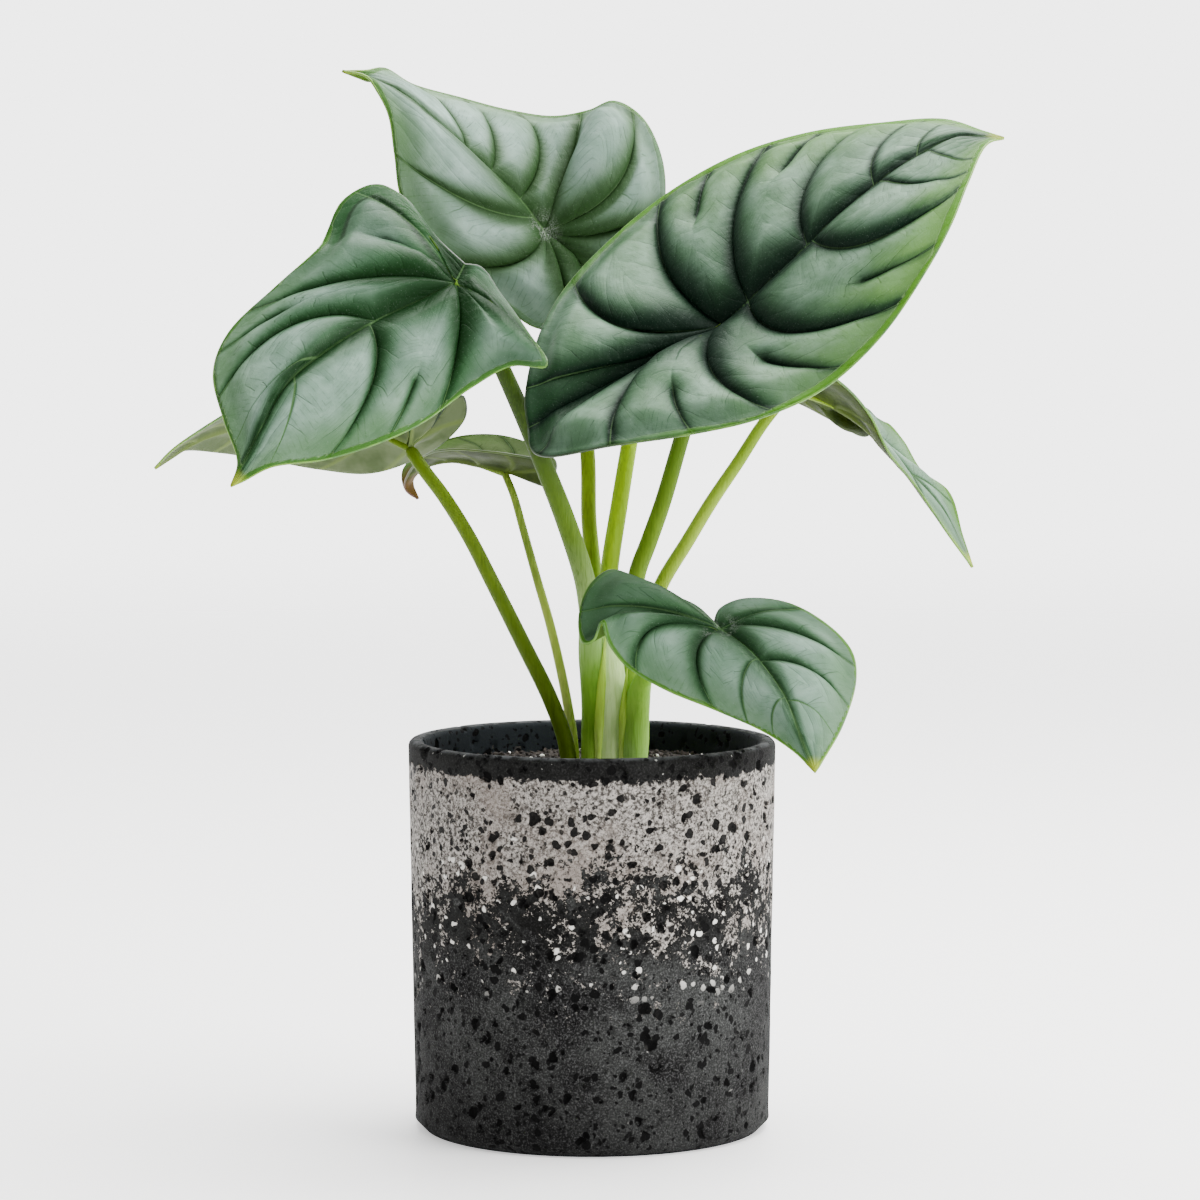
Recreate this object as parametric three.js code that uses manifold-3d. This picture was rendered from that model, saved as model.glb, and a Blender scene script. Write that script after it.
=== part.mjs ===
// A potted silver dragon alocasia: eight quilted, arrow-shaped blades on fleshy stalks that rise
// from one crown, standing in soil in a cylindrical cast-stone pot.
// Millimetres, +Z up, origin at the middle of the pot's flat base, front of the plant towards -Y.

import * as THREE from "three";
import { mergeVertices } from "three/addons/utils/BufferGeometryUtils.js";
import Module from "manifold-3d";

const wasm = await Module();
wasm.setup();

// Driving dimensions
const GAP = 0.3; // between pieces that touch
const MERGE = 1e-3; // points closer than this are one point

const POT = {
  height: 127.5,
  rimRadius: 60,
  baseRadius: 58,
  rimWall: 5.6, // at the mouth, the wall is a little thicker lower down
  innerRadius: 54,
  floor: 8,
  fullWallBelow: 76, // the inner wall is straight below this height
  rimRound: 2.4,
  rimSteps: 2,
  chamfer: 3.2,
  segments: 64,
};

const SOIL = {
  top: 117, // about 10 mm below the rim
  mound: 1.6, // higher round the crown than at the wall
  lump: 0.7,
  swell: 3.4, // lumps and the finer ripple on them rise and fall over these lengths, per radian
  ripple: 2.2,
  rippleShare: 0.6,
  flatShare: 0.16, // of the way in from the wall, where the lumps die down
  rings: [53.7, 49, 43, 36, 28, 19, 9],
  segments: 40,
  holeClearance: 0.6,
};

const BLADE = {
  thickness: 0.8,
  // Rows from the midrib, 0, to the margin, 1, and columns between two neighbouring veins
  rows: [0, 0.12, 0.3, 0.5, 0.7, 0.86, 1],
  columns: 4,
  smallRows: [0, 0.2, 0.5, 0.8, 1],
  smallColumns: 3,
  curvedFrom: 0.12, // columns that end nearer to the sinus than this share of the margin are straighter
  fullCell: 18, // a cell between two veins this wide, or wider, rises by the whole relief
  cellRound: 0.7, // below 1 makes a cell's back broader
  rise: 0.2, // share of the way out over which a cell rises from the midrib
  riseRound: 0.8,
  flatMargin: 0.8, // beyond this share of the way out the quilting dies down
  flattened: 0.85,
  parted: 0.75, // height of the two halves of a split cell
  partedOver: 0.2, // share of the way out over which a cell splits
};

const STALK = {
  sides: 10,
  step: 7, // length of one ring to the next
  seat: 0.85, // from the blade's lower face at the node
  lead: 3, // the first stretch goes straight on from its sheath
  bend: 4.5, // the last stretch turns square to the blade
  taper: 1.3, // above 1 keeps the lower part thicker
};

// Finishes of the solids
const leafFinish = new THREE.MeshStandardMaterial({ color: 0x86a391, roughness: 0.45 });
const stalkFinish = new THREE.MeshStandardMaterial({ color: 0x86a03f, roughness: 0.5 });
const crownFinish = new THREE.MeshStandardMaterial({ color: 0x9bb86e, roughness: 0.5 });
const soilFinish = new THREE.MeshStandardMaterial({ color: 0x1c1a19, roughness: 0.95 });
const stoneFinish = new THREE.MeshStandardMaterial({ color: 0x57575a, roughness: 0.9 });

// The leaves. Points are [x, y, z]. midrib runs from the node, where the stalk meets the blade, to
// the tip. sinus is the notch between the two basal lobes. left and right are the margins from
// sinus to tip, as seen from above with the tip ahead. origins are the places on the midrib where
// its pairs of side veins leave it, and any veins before those fan out from the node. A vein is
// [its place on the margin, how far it bows back, where the cell before it splits in two].
const LEAVES = {
  front_right: {
    relief: 4.2,
    camber: 0.04,
    midrib: [
      [42, -20, 262], [60, -24, 279], [79, -25, 297], [98, -21, 312], [116, -15, 321], [132, -12, 322],
    ],
    sinus: [-20, -34, 230],
    left: [
      [-21, -30, 239], [-17, -17, 258], [-9, -3, 273], [6, 11, 289], [26, 21, 305], [48, 24, 317],
      [71, 22, 324], [94, 15, 327], [114, 4, 328], [126, -6, 324],
    ],
    right: [
      [-19, -40, 224], [-14, -50, 222], [6, -62, 226], [31, -68, 230], [52, -70, 235], [72, -66, 244],
      [90, -60, 260], [105, -51, 281], [113, -43, 295], [119, -32, 308], [126, -18, 320],
    ],
    origins: [0.1, 0.33, 0.58, 0.74],
    leftVeins: [
      [0.27, 0.4], [0.46, 0.46], [0.63, 0.3, 0.62], [0.79, 0.4, 0.62], [0.86, 0.35], [0.91, 0.3],
    ],
    rightVeins: [
      [0.22, 0.25], [0.44, 0.6, 0.55], [0.69, 0.5, 0.5], [0.9, 0.4, 0.62], [0.93, 0.3], [0.96, 0.2],
    ],
    stalk: [[14.6, -2.5, 181], [18.5, -3.5, 192], [23, -5.5, 205], [28.7, -9, 225], [34, -13, 243]],
    stalkRadii: [2.9, 2.2],
  },
  front_left: {
    relief: 3,
    camber: 0.05,
    midrib: [
      [-43, -45, 276], [-55, -50, 270], [-68, -57, 264], [-81, -66, 256], [-93, -76, 246],
      [-101, -86, 232], [-110, -94, 215],
    ],
    sinus: [-40, -42, 282],
    left: [
      [-35, -40, 281], [-29, -45, 273], [-20, -57, 261], [-14, -66, 251], [-25, -63, 251], [-38, -65, 244],
      [-52, -71, 234], [-65, -78, 228], [-82, -84, 223], [-98, -90, 221], [-106, -92, 217],
    ],
    right: [
      [-49, -33, 290], [-60, -22, 303], [-69, -18, 307], [-79, -22, 302], [-84, -31, 291], [-86, -38, 287],
      [-99, -46, 275], [-113, -57, 261], [-117, -68, 249], [-113, -80, 235], [-108, -90, 222],
    ],
    origins: [0.3, 0.56, 0.73],
    leftVeins: [[0.29, 0.12], [0.56, 0.2], [0.81, 0.42, 0.6], [0.88, 0.38], [0.93, 0.3]],
    rightVeins: [[0.31, 0.35], [0.6, 0.15], [0.84, 0.35, 0.6], [0.92, 0.35], [0.95, 0.3]],
    stalk: [[-2.4, -8, 180], [-8.4, -11.5, 199], [-14.5, -15.5, 215], [-23, -22, 236], [-32, -31, 256]],
    stalkRadii: [3.5, 2.2],
  },
  top: {
    relief: 3.2,
    camber: 0.05,
    midrib: [
      [-16, 30, 292], [-23, 30, 301], [-33, 28, 311], [-50, 22, 325], [-64, 16, 337], [-81, 10, 344],
    ],
    sinus: [0, 27, 277],
    left: [
      [3, 23, 268], [-7, 19, 260], [-19, 18, 261], [-29, 18, 268], [-42, 18, 276], [-55, 16, 291],
      [-62, 14, 303], [-64, 12, 317], [-66, 11, 330], [-70, 10, 338], [-73, 10, 342],
    ],
    right: [
      [11, 30, 278], [21, 34, 289], [24, 40, 306], [22, 46, 319], [16, 53, 330], [7, 59, 335],
      [-1, 62, 332], [-13, 63, 330], [-28, 60, 332], [-44, 52, 336], [-59, 41, 340], [-68, 24, 345],
      [-74, 13, 344],
    ],
    origins: [0.13, 0.4, 0.64],
    leftVeins: [[0.29, 0.1], [0.56, 0.5], [0.79, 0.28, 0.6], [0.86, 0.3], [0.92, 0.2]],
    rightVeins: [[0.24, 0.1], [0.33, 0.2], [0.43, 0.2], [0.58, 0.5], [0.7, 0.25], [0.8, 0.3]],
    stalk: [[0.5, 7, 182], [-1, 9, 198], [-1.5, 14, 220], [-6, 28, 252], [-11, 37, 273]],
    stalkRadii: [2.6, 2],
  },
  low_front: {
    relief: 2,
    camber: 0.05,
    midrib: [[41, -36, 166], [50, -46, 160], [60, -62, 148], [65, -75, 136], [69, -84, 126]],
    sinus: [39, -33, 168],
    left: [
      [41, -29, 172], [48, -28, 175], [62, -29, 174], [74, -34, 168], [82, -43, 160], [83, -52, 152],
      [78, -68, 139], [71, -81, 129],
    ],
    right: [
      [33, -27, 173], [23, -23, 177], [13, -22, 182], [6, -24, 184], [-1, -30, 179], [-4, -37, 169],
      [-2, -43, 162], [4, -47, 163], [11, -49, 156], [23, -53, 149], [39, -59, 143], [54, -67, 137],
      [64, -77, 131],
    ],
    origins: [0.32, 0.58],
    leftVeins: [[0.33, 0.08], [0.59, 0.25], [0.74, 0.28], [0.86, 0.25]],
    rightVeins: [[0.24, 0.05], [0.42, 0.3], [0.59, 0.6], [0.74, 0.55], [0.81, 0.25], [0.87, 0.35]],
    stalk: [[18.5, -13, 151], [25, -19, 154.5], [33, -27, 158.5]],
    stalkRadii: [2.6, 1.8],
  },
  far_left: {
    relief: 1.6,
    camber: 0.05,
    small: true,
    midrib: [
      [-59, -5, 223], [-73, -4, 229], [-91, -3, 232], [-109, -4, 230], [-125, -6, 226], [-141, -10, 216],
    ],
    sinus: [-52, -4, 229],
    left: [
      [-49, -12, 237], [-53, -22, 245], [-66, -31, 250], [-81, -36, 251], [-97, -36, 246], [-112, -30, 237],
      [-125, -21, 229], [-135, -14, 222],
    ],
    right: [
      [-47, -3, 236], [-42, -2, 239], [-41, 0, 233], [-47, 4, 225], [-58, 10, 218], [-73, 18, 213],
      [-90, 24, 214], [-106, 22, 217], [-122, 14, 220], [-134, 2, 221],
    ],
    origins: [0.2, 0.43, 0.64, 0.81],
    leftVeins: [[0.24, 0.1], [0.43, 0.35], [0.6, 0.35], [0.74, 0.35], [0.85, 0.3], [0.92, 0.2]],
    rightVeins: [[0.16, 0.1], [0.39, 0.3], [0.55, 0.35], [0.69, 0.35], [0.8, 0.3], [0.89, 0.2]],
    stalk: [
      [-6.5, -4, 106], [-8.5, -4, 126], [-13.3, -4, 140], [-22.5, -4.5, 159], [-32.4, -5.3, 179],
      [-40, -6.3, 194], [-48, -7.4, 207], [-54, -7.6, 215],
    ],
    stalkRadii: [2.7, 1.9],
  },
  small_folded: {
    relief: 1.2,
    camber: -0.02,
    small: true,
    midrib: [[-28, 12, 214], [-37, 17, 216], [-47, 24, 217], [-56, 31, 214], [-60, 36, 209], [-58, 38, 203]],
    sinus: [-20, 9, 212],
    left: [
      [-14, 5, 209], [-12, 0, 214], [-17, -3, 218], [-26, -3, 220], [-36, 0, 221], [-46, 8, 221],
      [-54, 17, 219], [-60, 27, 213], [-62, 33, 207],
    ],
    right: [
      [-14, 16, 211], [-12, 24, 216], [-17, 29, 220], [-29, 34, 224], [-42, 38, 224], [-52, 42, 221],
      [-59, 43, 217], [-63, 42, 212], [-62, 40, 206],
    ],
    origins: [0.21, 0.47, 0.64],
    leftVeins: [[0.2, 0.1], [0.35, 0.3], [0.55, 0.35], [0.72, 0.3], [0.86, 0.2]],
    rightVeins: [[0.25, 0.1], [0.46, 0.3], [0.63, 0.35], [0.78, 0.3], [0.86, 0.2]],
    stalk: [
      [-5, 1.5, 106], [-6.2, 2, 126], [-8.5, 3, 141], [-13.4, 5, 163], [-18, 7, 179], [-22.5, 9, 195],
      [-25.6, 10, 206],
    ],
    stalkRadii: [1.7, 1],
  },
  far_right: {
    relief: 1.4,
    camber: -0.02,
    small: true,
    midrib: [[65, 22, 241], [79, 32, 235], [91, 40, 227], [103, 46, 214], [116, 46, 200], [127, 42, 180]],
    sinus: [59, 16, 243],
    left: [
      [61, 24, 238], [69, 34, 235], [82, 48, 228], [92, 60, 223], [99, 68, 227], [105, 70, 221],
      [111, 65, 211], [120, 59, 204], [124, 50, 190],
    ],
    right: [
      [58, 10, 247], [63, 4, 251], [71, 2, 249], [82, 9, 242], [91, 19, 232], [98, 26, 219],
      [107, 32, 208], [118, 36, 192],
    ],
    origins: [0.21, 0.39, 0.61],
    leftVeins: [[0.11, 0.1], [0.33, 0.3], [0.54, 0.35], [0.69, 0.3], [0.82, 0.2]],
    rightVeins: [[0.1, 0.1], [0.31, 0.3], [0.52, 0.35], [0.67, 0.3], [0.82, 0.2]],
    stalk: [[23, 4.3, 178], [31, 6.3, 191], [39, 9, 204], [48, 13, 217], [56, 17, 229]],
    stalkRadii: [2.4, 1.8],
  },
  back: {
    relief: 1.8,
    camber: 0.05,
    small: true,
    midrib: [[25, 48, 280], [33, 62, 280], [42, 80, 276], [50, 100, 268], [57, 120, 252]],
    sinus: [20, 38, 277],
    left: [[13, 36, 273], [11, 42, 266], [16, 56, 258], [28, 76, 254], [41, 100, 251], [51, 113, 250]],
    right: [
      [21, 40, 285], [29, 44, 292], [43, 56, 296], [58, 74, 292], [70, 94, 280], [70, 109, 266],
      [62, 118, 254],
    ],
    origins: [0.2, 0.49, 0.75],
    leftVeins: [[0.12, 0.1], [0.41, 0.3], [0.65, 0.35], [0.83, 0.3], [0.93, 0.2]],
    rightVeins: [[0.13, 0.1], [0.35, 0.3], [0.6, 0.35], [0.79, 0.3], [0.92, 0.2]],
    stalk: [[5.5, 0, 181], [9, 3, 204], [12, 8, 222], [17.5, 26, 252]],
    stalkRadii: [3, 2],
  },
};

// The crown: a short stem, and round it the foot of each stalk that grows from it, a clasping
// sheath from below the soil to where the stalk stands free. Radii are given at each point.
const STEM = { path: [[5, 0, 100], [5, 0.5, 128], [4, 0, 162]], radii: [6, 5.2, 3.2] };
const SHEATHS = {
  front_left: {
    path: [[-0.5, -5, 102], [-0.5, -5, 123], [0, -5, 141], [-0.5, -6, 160], [-0.5, -6.5, 171]],
    radii: [2.6, 2.7, 3, 3.6, 3.5],
  },
  top: {
    path: [[2, 5, 102], [2, 5, 122], [2, 5.5, 142], [1.5, 6, 171]],
    radii: [3.4, 3.4, 3, 2.6],
  },
  back: {
    path: [[6, -2, 102], [6, -2, 123], [6, -2, 143], [5, -1.5, 160], [5, -1, 171]],
    radii: [3.9, 3.9, 4, 3.3, 3],
  },
  front_right: {
    path: [[11.5, 1, 102], [11.5, 1, 122], [12.5, 0, 143], [13.5, -1, 171]],
    radii: [3.6, 3.6, 3.6, 2.9],
  },
  far_right: {
    path: [[14.5, 5, 102], [14.5, 5, 122], [16, 5, 142], [19.5, 4, 171]],
    radii: [3, 3, 2.8, 2.4],
  },
  low_front: {
    path: [[13, -5, 102], [13.5, -5, 123], [14.5, -6.5, 137], [16, -10, 146], [18, -12.6, 150.6]],
    radii: [3.6, 3.7, 4.1, 3.4, 2.6],
  },
};

const vector = (p) => new THREE.Vector3(...p);
const curveThrough = (points) => new THREE.CatmullRomCurve3(points, false, "centripetal");
const smooth = (x) => THREE.MathUtils.smoothstep(x, 0, 1);
const lerp = THREE.MathUtils.lerp;

// A geometry with only its positions, its shared points merged and its empty triangles dropped
function welded(geometry) {
  const bare = geometry.index ? geometry.toNonIndexed() : geometry.clone();
  bare.deleteAttribute("normal");
  bare.deleteAttribute("uv");
  const merged = mergeVertices(bare, MERGE);
  const old = merged.index.array;
  const kept = [];
  for (let i = 0; i < old.length; i += 3) {
    const [a, b, c] = old.subarray(i, i + 3);
    if (a !== b && b !== c && c !== a) kept.push(a, b, c);
  }
  return merged.setIndex(kept);
}

function toSolid(geometry) {
  const bare = welded(geometry);
  return new wasm.Manifold(
    new wasm.Mesh({
      numProp: 3,
      vertProperties: bare.attributes.position.array,
      triVerts: new Uint32Array(bare.index.array),
    }),
  );
}

function toGeometry(solid) {
  const mesh = solid.getMesh();
  const position = new THREE.BufferAttribute(new Float32Array(mesh.vertProperties), 3);
  return new THREE.BufferGeometry()
    .setAttribute("position", position)
    .setIndex(new THREE.BufferAttribute(new Uint32Array(mesh.triVerts), 1));
}

// A round bar along a path, closed at both ends: a cylinder bent along the path. radiusAt gives
// the radius at a share of the length.
function bar(path, radiusAt, extra = 0) {
  const curve = curveThrough(path);
  const steps = Math.max(2, Math.round(curve.getLength() / STALK.step));
  const frames = curve.computeFrenetFrames(steps, false);
  const geometry = new THREE.CylinderGeometry(1, 1, 1, STALK.sides, steps);
  const position = geometry.attributes.position;
  const point = new THREE.Vector3();
  for (let i = 0; i < position.count; i++) {
    const ring = Math.round((position.getY(i) + 0.5) * steps);
    const radius = radiusAt(ring / steps) + extra;
    curve.getPointAt(ring / steps, point);
    point.addScaledVector(frames.binormals[ring], radius * position.getX(i));
    point.addScaledVector(frames.normals[ring], radius * position.getZ(i));
    position.setXYZ(i, point.x, point.y, point.z);
  }
  return geometry;
}

// Radii given at each point of a path, as a function of the share of the length
function radiiAlong(radii) {
  return (share) => {
    const place = share * (radii.length - 1);
    const before = Math.min(Math.floor(place), radii.length - 2);
    return lerp(radii[before], radii[before + 1], place - before);
  };
}

// The height of a cell's back at a share of its width
const arch = (share) => Math.pow(4 * share * (1 - share), BLADE.cellRound);

// Half of a blade as columns of points from the midrib to the margin. A column is a curved line
// that bows back like a vein, and between two veins the surface rises in a quilted cell.
function halfBlade(leaf, side) {
  const rows = leaf.small ? BLADE.smallRows : BLADE.rows;
  const perCell = leaf.small ? BLADE.smallColumns : BLADE.columns;
  const midrib = curveThrough(leaf.midrib.map(vector));
  const outline = [leaf.sinus, ...(side > 0 ? leaf.right : leaf.left), leaf.midrib.at(-1)];
  const margin = curveThrough(outline.map(vector));
  const veins = side > 0 ? leaf.rightVeins : leaf.leftVeins;
  const fanned = veins.length - leaf.origins.length;
  const stations = [
    { at: 0, from: 0, sweep: 0, split: 1 },
    ...veins.map(([at, sweep, split = 1], i) => {
      const from = i < fanned ? 0 : leaf.origins[i - fanned];
      return { at, from, sweep, split };
    }),
    { at: 1, from: 1, sweep: 0, split: 1 },
  ];

  // The smooth surface
  const columns = [];
  const last = (stations.length - 1) * perCell;
  for (let c = 0; c <= last; c++) {
    const cell = Math.min(Math.floor(c / perCell), stations.length - 2);
    const share = c / perCell - cell;
    const [a, b] = [stations[cell], stations[cell + 1]];
    const at = lerp(a.at, b.at, share);
    const start = midrib.getPointAt(lerp(a.from, b.from, share));
    const end = margin.getPointAt(at);
    const along = margin.getTangentAt(at);
    const span = end.clone().sub(start);
    const up = span.clone().cross(along).multiplyScalar(side).normalize();
    const shown = smooth(at / BLADE.curvedFrom) * span.length();
    const control = start.clone().add(end).multiplyScalar(0.5);
    control.addScaledVector(along, -lerp(a.sweep, b.sweep, share) * shown);
    control.addScaledVector(up, 2 * leaf.camber * shown);
    const line = new THREE.QuadraticBezierCurve3(start, control, end);
    columns.push(rows.map((u) => line.getPoint(u)));
  }

  // Its relief
  return columns.map((column, c) => {
    const cell = Math.min(Math.floor(c / perCell), stations.length - 2);
    const share = c / perCell - cell;
    const before = columns[cell * perCell];
    const after = columns[(cell + 1) * perCell];
    const { split } = stations[cell + 1];
    const whole = arch(share);
    const halves = BLADE.parted * arch((2 * share) % 1);
    return column.map((point, r) => {
      const u = rows[r];
      if (r === 0 || c % perCell === 0) return point.clone(); // on the midrib or on a vein
      const width = before[r].distanceTo(after[r]);
      const rise = Math.pow(Math.min(1, u / BLADE.rise), BLADE.riseRound);
      const fall = 1 - BLADE.flattened * smooth((u - BLADE.flatMargin) / (1 - BLADE.flatMargin));
      const height = leaf.relief * Math.min(1, width / BLADE.fullCell) * rise * fall;
      const parting = split < 1 ? smooth((u - split) / BLADE.partedOver + 0.5) : 0;
      const across = columns[c + 1][r].clone().sub(columns[c - 1][r]);
      const outward = column[Math.min(r + 1, rows.length - 1)].clone().sub(column[r - 1]);
      const up = outward.cross(across).multiplyScalar(side).normalize();
      return point.clone().addScaledVector(up, height * lerp(whole, halves, parting));
    });
  });
}

// Both halves of a blade as one sheet of triangles that face up
function bladeSheet(leaf) {
  const corners = [];
  for (const side of [1, -1]) {
    const grid = halfBlade(leaf, side);
    for (let c = 1; c < grid.length; c++)
      for (let r = 1; r < grid[c].length; r++) {
        const [p, q, s, t] = [grid[c - 1][r - 1], grid[c - 1][r], grid[c][r], grid[c][r - 1]];
        const triangles = side > 0 ? [p, q, s, p, s, t] : [p, s, q, p, t, s];
        triangles.forEach((corner) => corners.push(corner.x, corner.y, corner.z));
      }
  }
  const position = new THREE.Float32BufferAttribute(corners, 3);
  return welded(new THREE.BufferGeometry().setAttribute("position", position));
}

// A sheet made solid: the same triangles above and below it, and a rim along its open edges
function thicken(sheet, thickness) {
  sheet.computeVertexNormals();
  const { position, normal } = sheet.attributes;
  const count = position.count;
  const faces = Array.from(sheet.index.array);
  const points = [];
  for (const lift of [thickness / 2, -thickness / 2])
    for (let i = 0; i < count; i++)
      points.push(
        position.getX(i) + lift * normal.getX(i),
        position.getY(i) + lift * normal.getY(i),
        position.getZ(i) + lift * normal.getZ(i),
      );
  const edges = new Set();
  for (let i = 0; i < faces.length; i += 3)
    for (let k = 0; k < 3; k++) edges.add(faces[i + k] + " " + faces[i + ((k + 1) % 3)]);
  const index = [...faces];
  for (let i = 0; i < faces.length; i += 3)
    index.push(faces[i] + count, faces[i + 2] + count, faces[i + 1] + count);
  for (const edge of edges) {
    const [a, b] = edge.split(" ").map(Number);
    if (!edges.has(b + " " + a)) index.push(a + count, b + count, b, a + count, b, a);
  }
  return new THREE.BufferGeometry()
    .setAttribute("position", new THREE.Float32BufferAttribute(points, 3))
    .setIndex(index);
}

// The way up from the blade at its node, from the sheet's triangles that meet there
function nodeUp(leaf, sheet) {
  sheet.computeVertexNormals();
  const node = vector(leaf.midrib[0]);
  const { position, normal } = sheet.attributes;
  const at = new THREE.Vector3();
  for (let i = 0; i < position.count; i++) {
    at.fromBufferAttribute(position, i);
    if (at.distanceTo(node) < 2 * MERGE) return at.fromBufferAttribute(normal, i);
  }
  throw new Error("the sheet has no point at its node");
}

// A stalk's free path: from its foot through its own points to just below the blade's node
function stalkPath(name, leaf, sheet) {
  const up = nodeUp(leaf, sheet);
  const node = vector(leaf.midrib[0]);
  const seat = node.clone().addScaledVector(up, -BLADE.thickness / 2 - STALK.seat);
  const bend = node.clone().addScaledVector(up, -STALK.bend);
  const path = [...leaf.stalk.map(vector), bend, seat];
  if (!SHEATHS[name]) return path;
  const sheath = curveThrough(SHEATHS[name].path.map(vector));
  const beyond = (distance) => sheath.getPointAt(1).addScaledVector(sheath.getTangentAt(1), distance);
  return [beyond(GAP), beyond(STALK.lead), ...path];
}

function makePot() {
  const { height, rimRadius, baseRadius, innerRadius, floor, rimRound, chamfer } = POT;
  const round = (x, z, radius, from, to) => {
    const arc = new THREE.Path();
    arc.absarc(x, z, radius, from, to, false);
    return arc.getPoints(POT.rimSteps);
  };
  const outerRim = round(rimRadius - rimRound, height - rimRound, rimRound, 0, Math.PI / 2);
  const mouth = rimRadius - POT.rimWall;
  const innerRim = round(mouth + rimRound, height - rimRound, rimRound, Math.PI / 2, Math.PI);
  const profile = [
    new THREE.Vector2(0, 0),
    new THREE.Vector2(baseRadius - chamfer, 0),
    new THREE.Vector2(baseRadius, chamfer),
    ...outerRim,
    ...innerRim,
    new THREE.Vector2(innerRadius, POT.fullWallBelow),
    new THREE.Vector2(innerRadius, floor),
    new THREE.Vector2(0, floor),
  ];
  return welded(new THREE.LatheGeometry(profile, POT.segments).rotateX(Math.PI / 2));
}

// The soil fills the pot from the floor up, with an uneven top and a plain hole for each stem
function makeSoil(stems) {
  const bottom = POT.floor + GAP;
  const profile = [
    new THREE.Vector2(0, bottom),
    new THREE.Vector2(SOIL.rings[0], bottom),
    ...SOIL.rings.map((radius) => new THREE.Vector2(radius, SOIL.top)),
    new THREE.Vector2(0, SOIL.top),
  ];
  const geometry = new THREE.LatheGeometry(profile, SOIL.segments).rotateX(Math.PI / 2);
  const position = geometry.attributes.position;
  for (let i = 0; i < position.count; i++) {
    if (position.getZ(i) < SOIL.top - 1) continue;
    const [x, y] = [position.getX(i), position.getY(i)];
    const inward = 1 - Math.hypot(x, y) / SOIL.rings[0];
    const ripple = SOIL.rippleShare * Math.sin((x - y) / SOIL.ripple);
    const lumps = Math.sin(x / SOIL.swell) * Math.cos(y / SOIL.swell) + ripple;
    const shown = SOIL.lump * smooth(inward / SOIL.flatShare);
    position.setZ(i, SOIL.top + SOIL.mound * inward + shown * lumps);
  }
  const pierced = stems.reduce((soil, stem) => soil.subtract(toSolid(stem)), toSolid(geometry));
  const bodies = pierced.decompose(); // crumbs shut in between two stems come loose
  const larger = (a, b) => (b.volume() > a.volume() ? b : a);
  return toGeometry(bodies.reduce(larger));
}

const plant = new THREE.Group();
function place(name, geometry, material) {
  const mesh = new THREE.Mesh(geometry, material);
  mesh.name = name;
  plant.add(mesh);
}

const holes = [];
for (const [name, leaf] of Object.entries(LEAVES)) {
  const sheet = bladeSheet(leaf);
  const path = stalkPath(name, leaf, sheet);
  const radius = (share) => lerp(...leaf.stalkRadii, Math.pow(share, STALK.taper));
  place("blade_" + name, thicken(sheet, BLADE.thickness), leafFinish);
  place("petiole_" + name, bar(path, radius), stalkFinish);
  if (!SHEATHS[name]) {
    const buried = path[0].clone().addScaledVector(curveThrough(path).getTangentAt(0), -GAP);
    holes.push(bar([buried, ...path.slice(1)], radius, SOIL.holeClearance));
  }
}

const crownBars = (extra) =>
  [STEM, ...Object.values(SHEATHS)].map(({ path, radii }) => {
    const points = path.map(vector);
    points[0].z -= extra;
    return bar(points, radiiAlong(radii), extra);
  });
const crown = crownBars(0).map(toSolid).reduce((joined, sheath) => joined.add(sheath));
place("crown", toGeometry(crown), crownFinish);
place("soil", makeSoil([...holes, ...crownBars(SOIL.holeClearance)]), soilFinish);
place("pot", makePot(), stoneFinish);

export default plant;
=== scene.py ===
"""A potted silver dragon alocasia: eight quilted blades on fleshy stalks, one crown, soil and a
cast-stone pot. The sections follow the plant from the pot upwards. Lengths are in metres, except
in the tables of points and girths, which are in millimetres."""

import math

import bpy
import numpy as np
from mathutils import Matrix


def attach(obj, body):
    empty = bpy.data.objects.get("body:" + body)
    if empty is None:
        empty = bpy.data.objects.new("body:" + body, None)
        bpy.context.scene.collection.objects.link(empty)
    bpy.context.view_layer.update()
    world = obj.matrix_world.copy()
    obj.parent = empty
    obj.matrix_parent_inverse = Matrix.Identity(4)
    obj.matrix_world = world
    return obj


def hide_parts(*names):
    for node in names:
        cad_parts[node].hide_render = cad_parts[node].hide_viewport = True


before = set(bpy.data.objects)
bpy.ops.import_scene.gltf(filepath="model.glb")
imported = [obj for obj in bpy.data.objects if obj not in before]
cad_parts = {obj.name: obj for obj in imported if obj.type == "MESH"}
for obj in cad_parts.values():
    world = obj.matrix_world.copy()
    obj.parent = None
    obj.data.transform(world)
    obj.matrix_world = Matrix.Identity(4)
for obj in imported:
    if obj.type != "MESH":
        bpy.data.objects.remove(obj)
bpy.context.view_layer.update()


# The pot. A cylinder of charcoal cast stone, pitted by air pores, with a round lip. A band of
# silver-white paint lies below the lip and wears off into specks further down. Its wall is turned
# from one profile, and the pores are pressed into the turned wall.
def tone(levels):
    """A colour of levels from 0 to 255, as all colours here are given, in the renderer's light."""
    return tuple(((c / 255 + 0.055) / 1.055) ** 2.4 if c > 10 else c / 3295 for c in levels)


def lerp(a, b, share):
    return a + (b - a) * share


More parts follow.
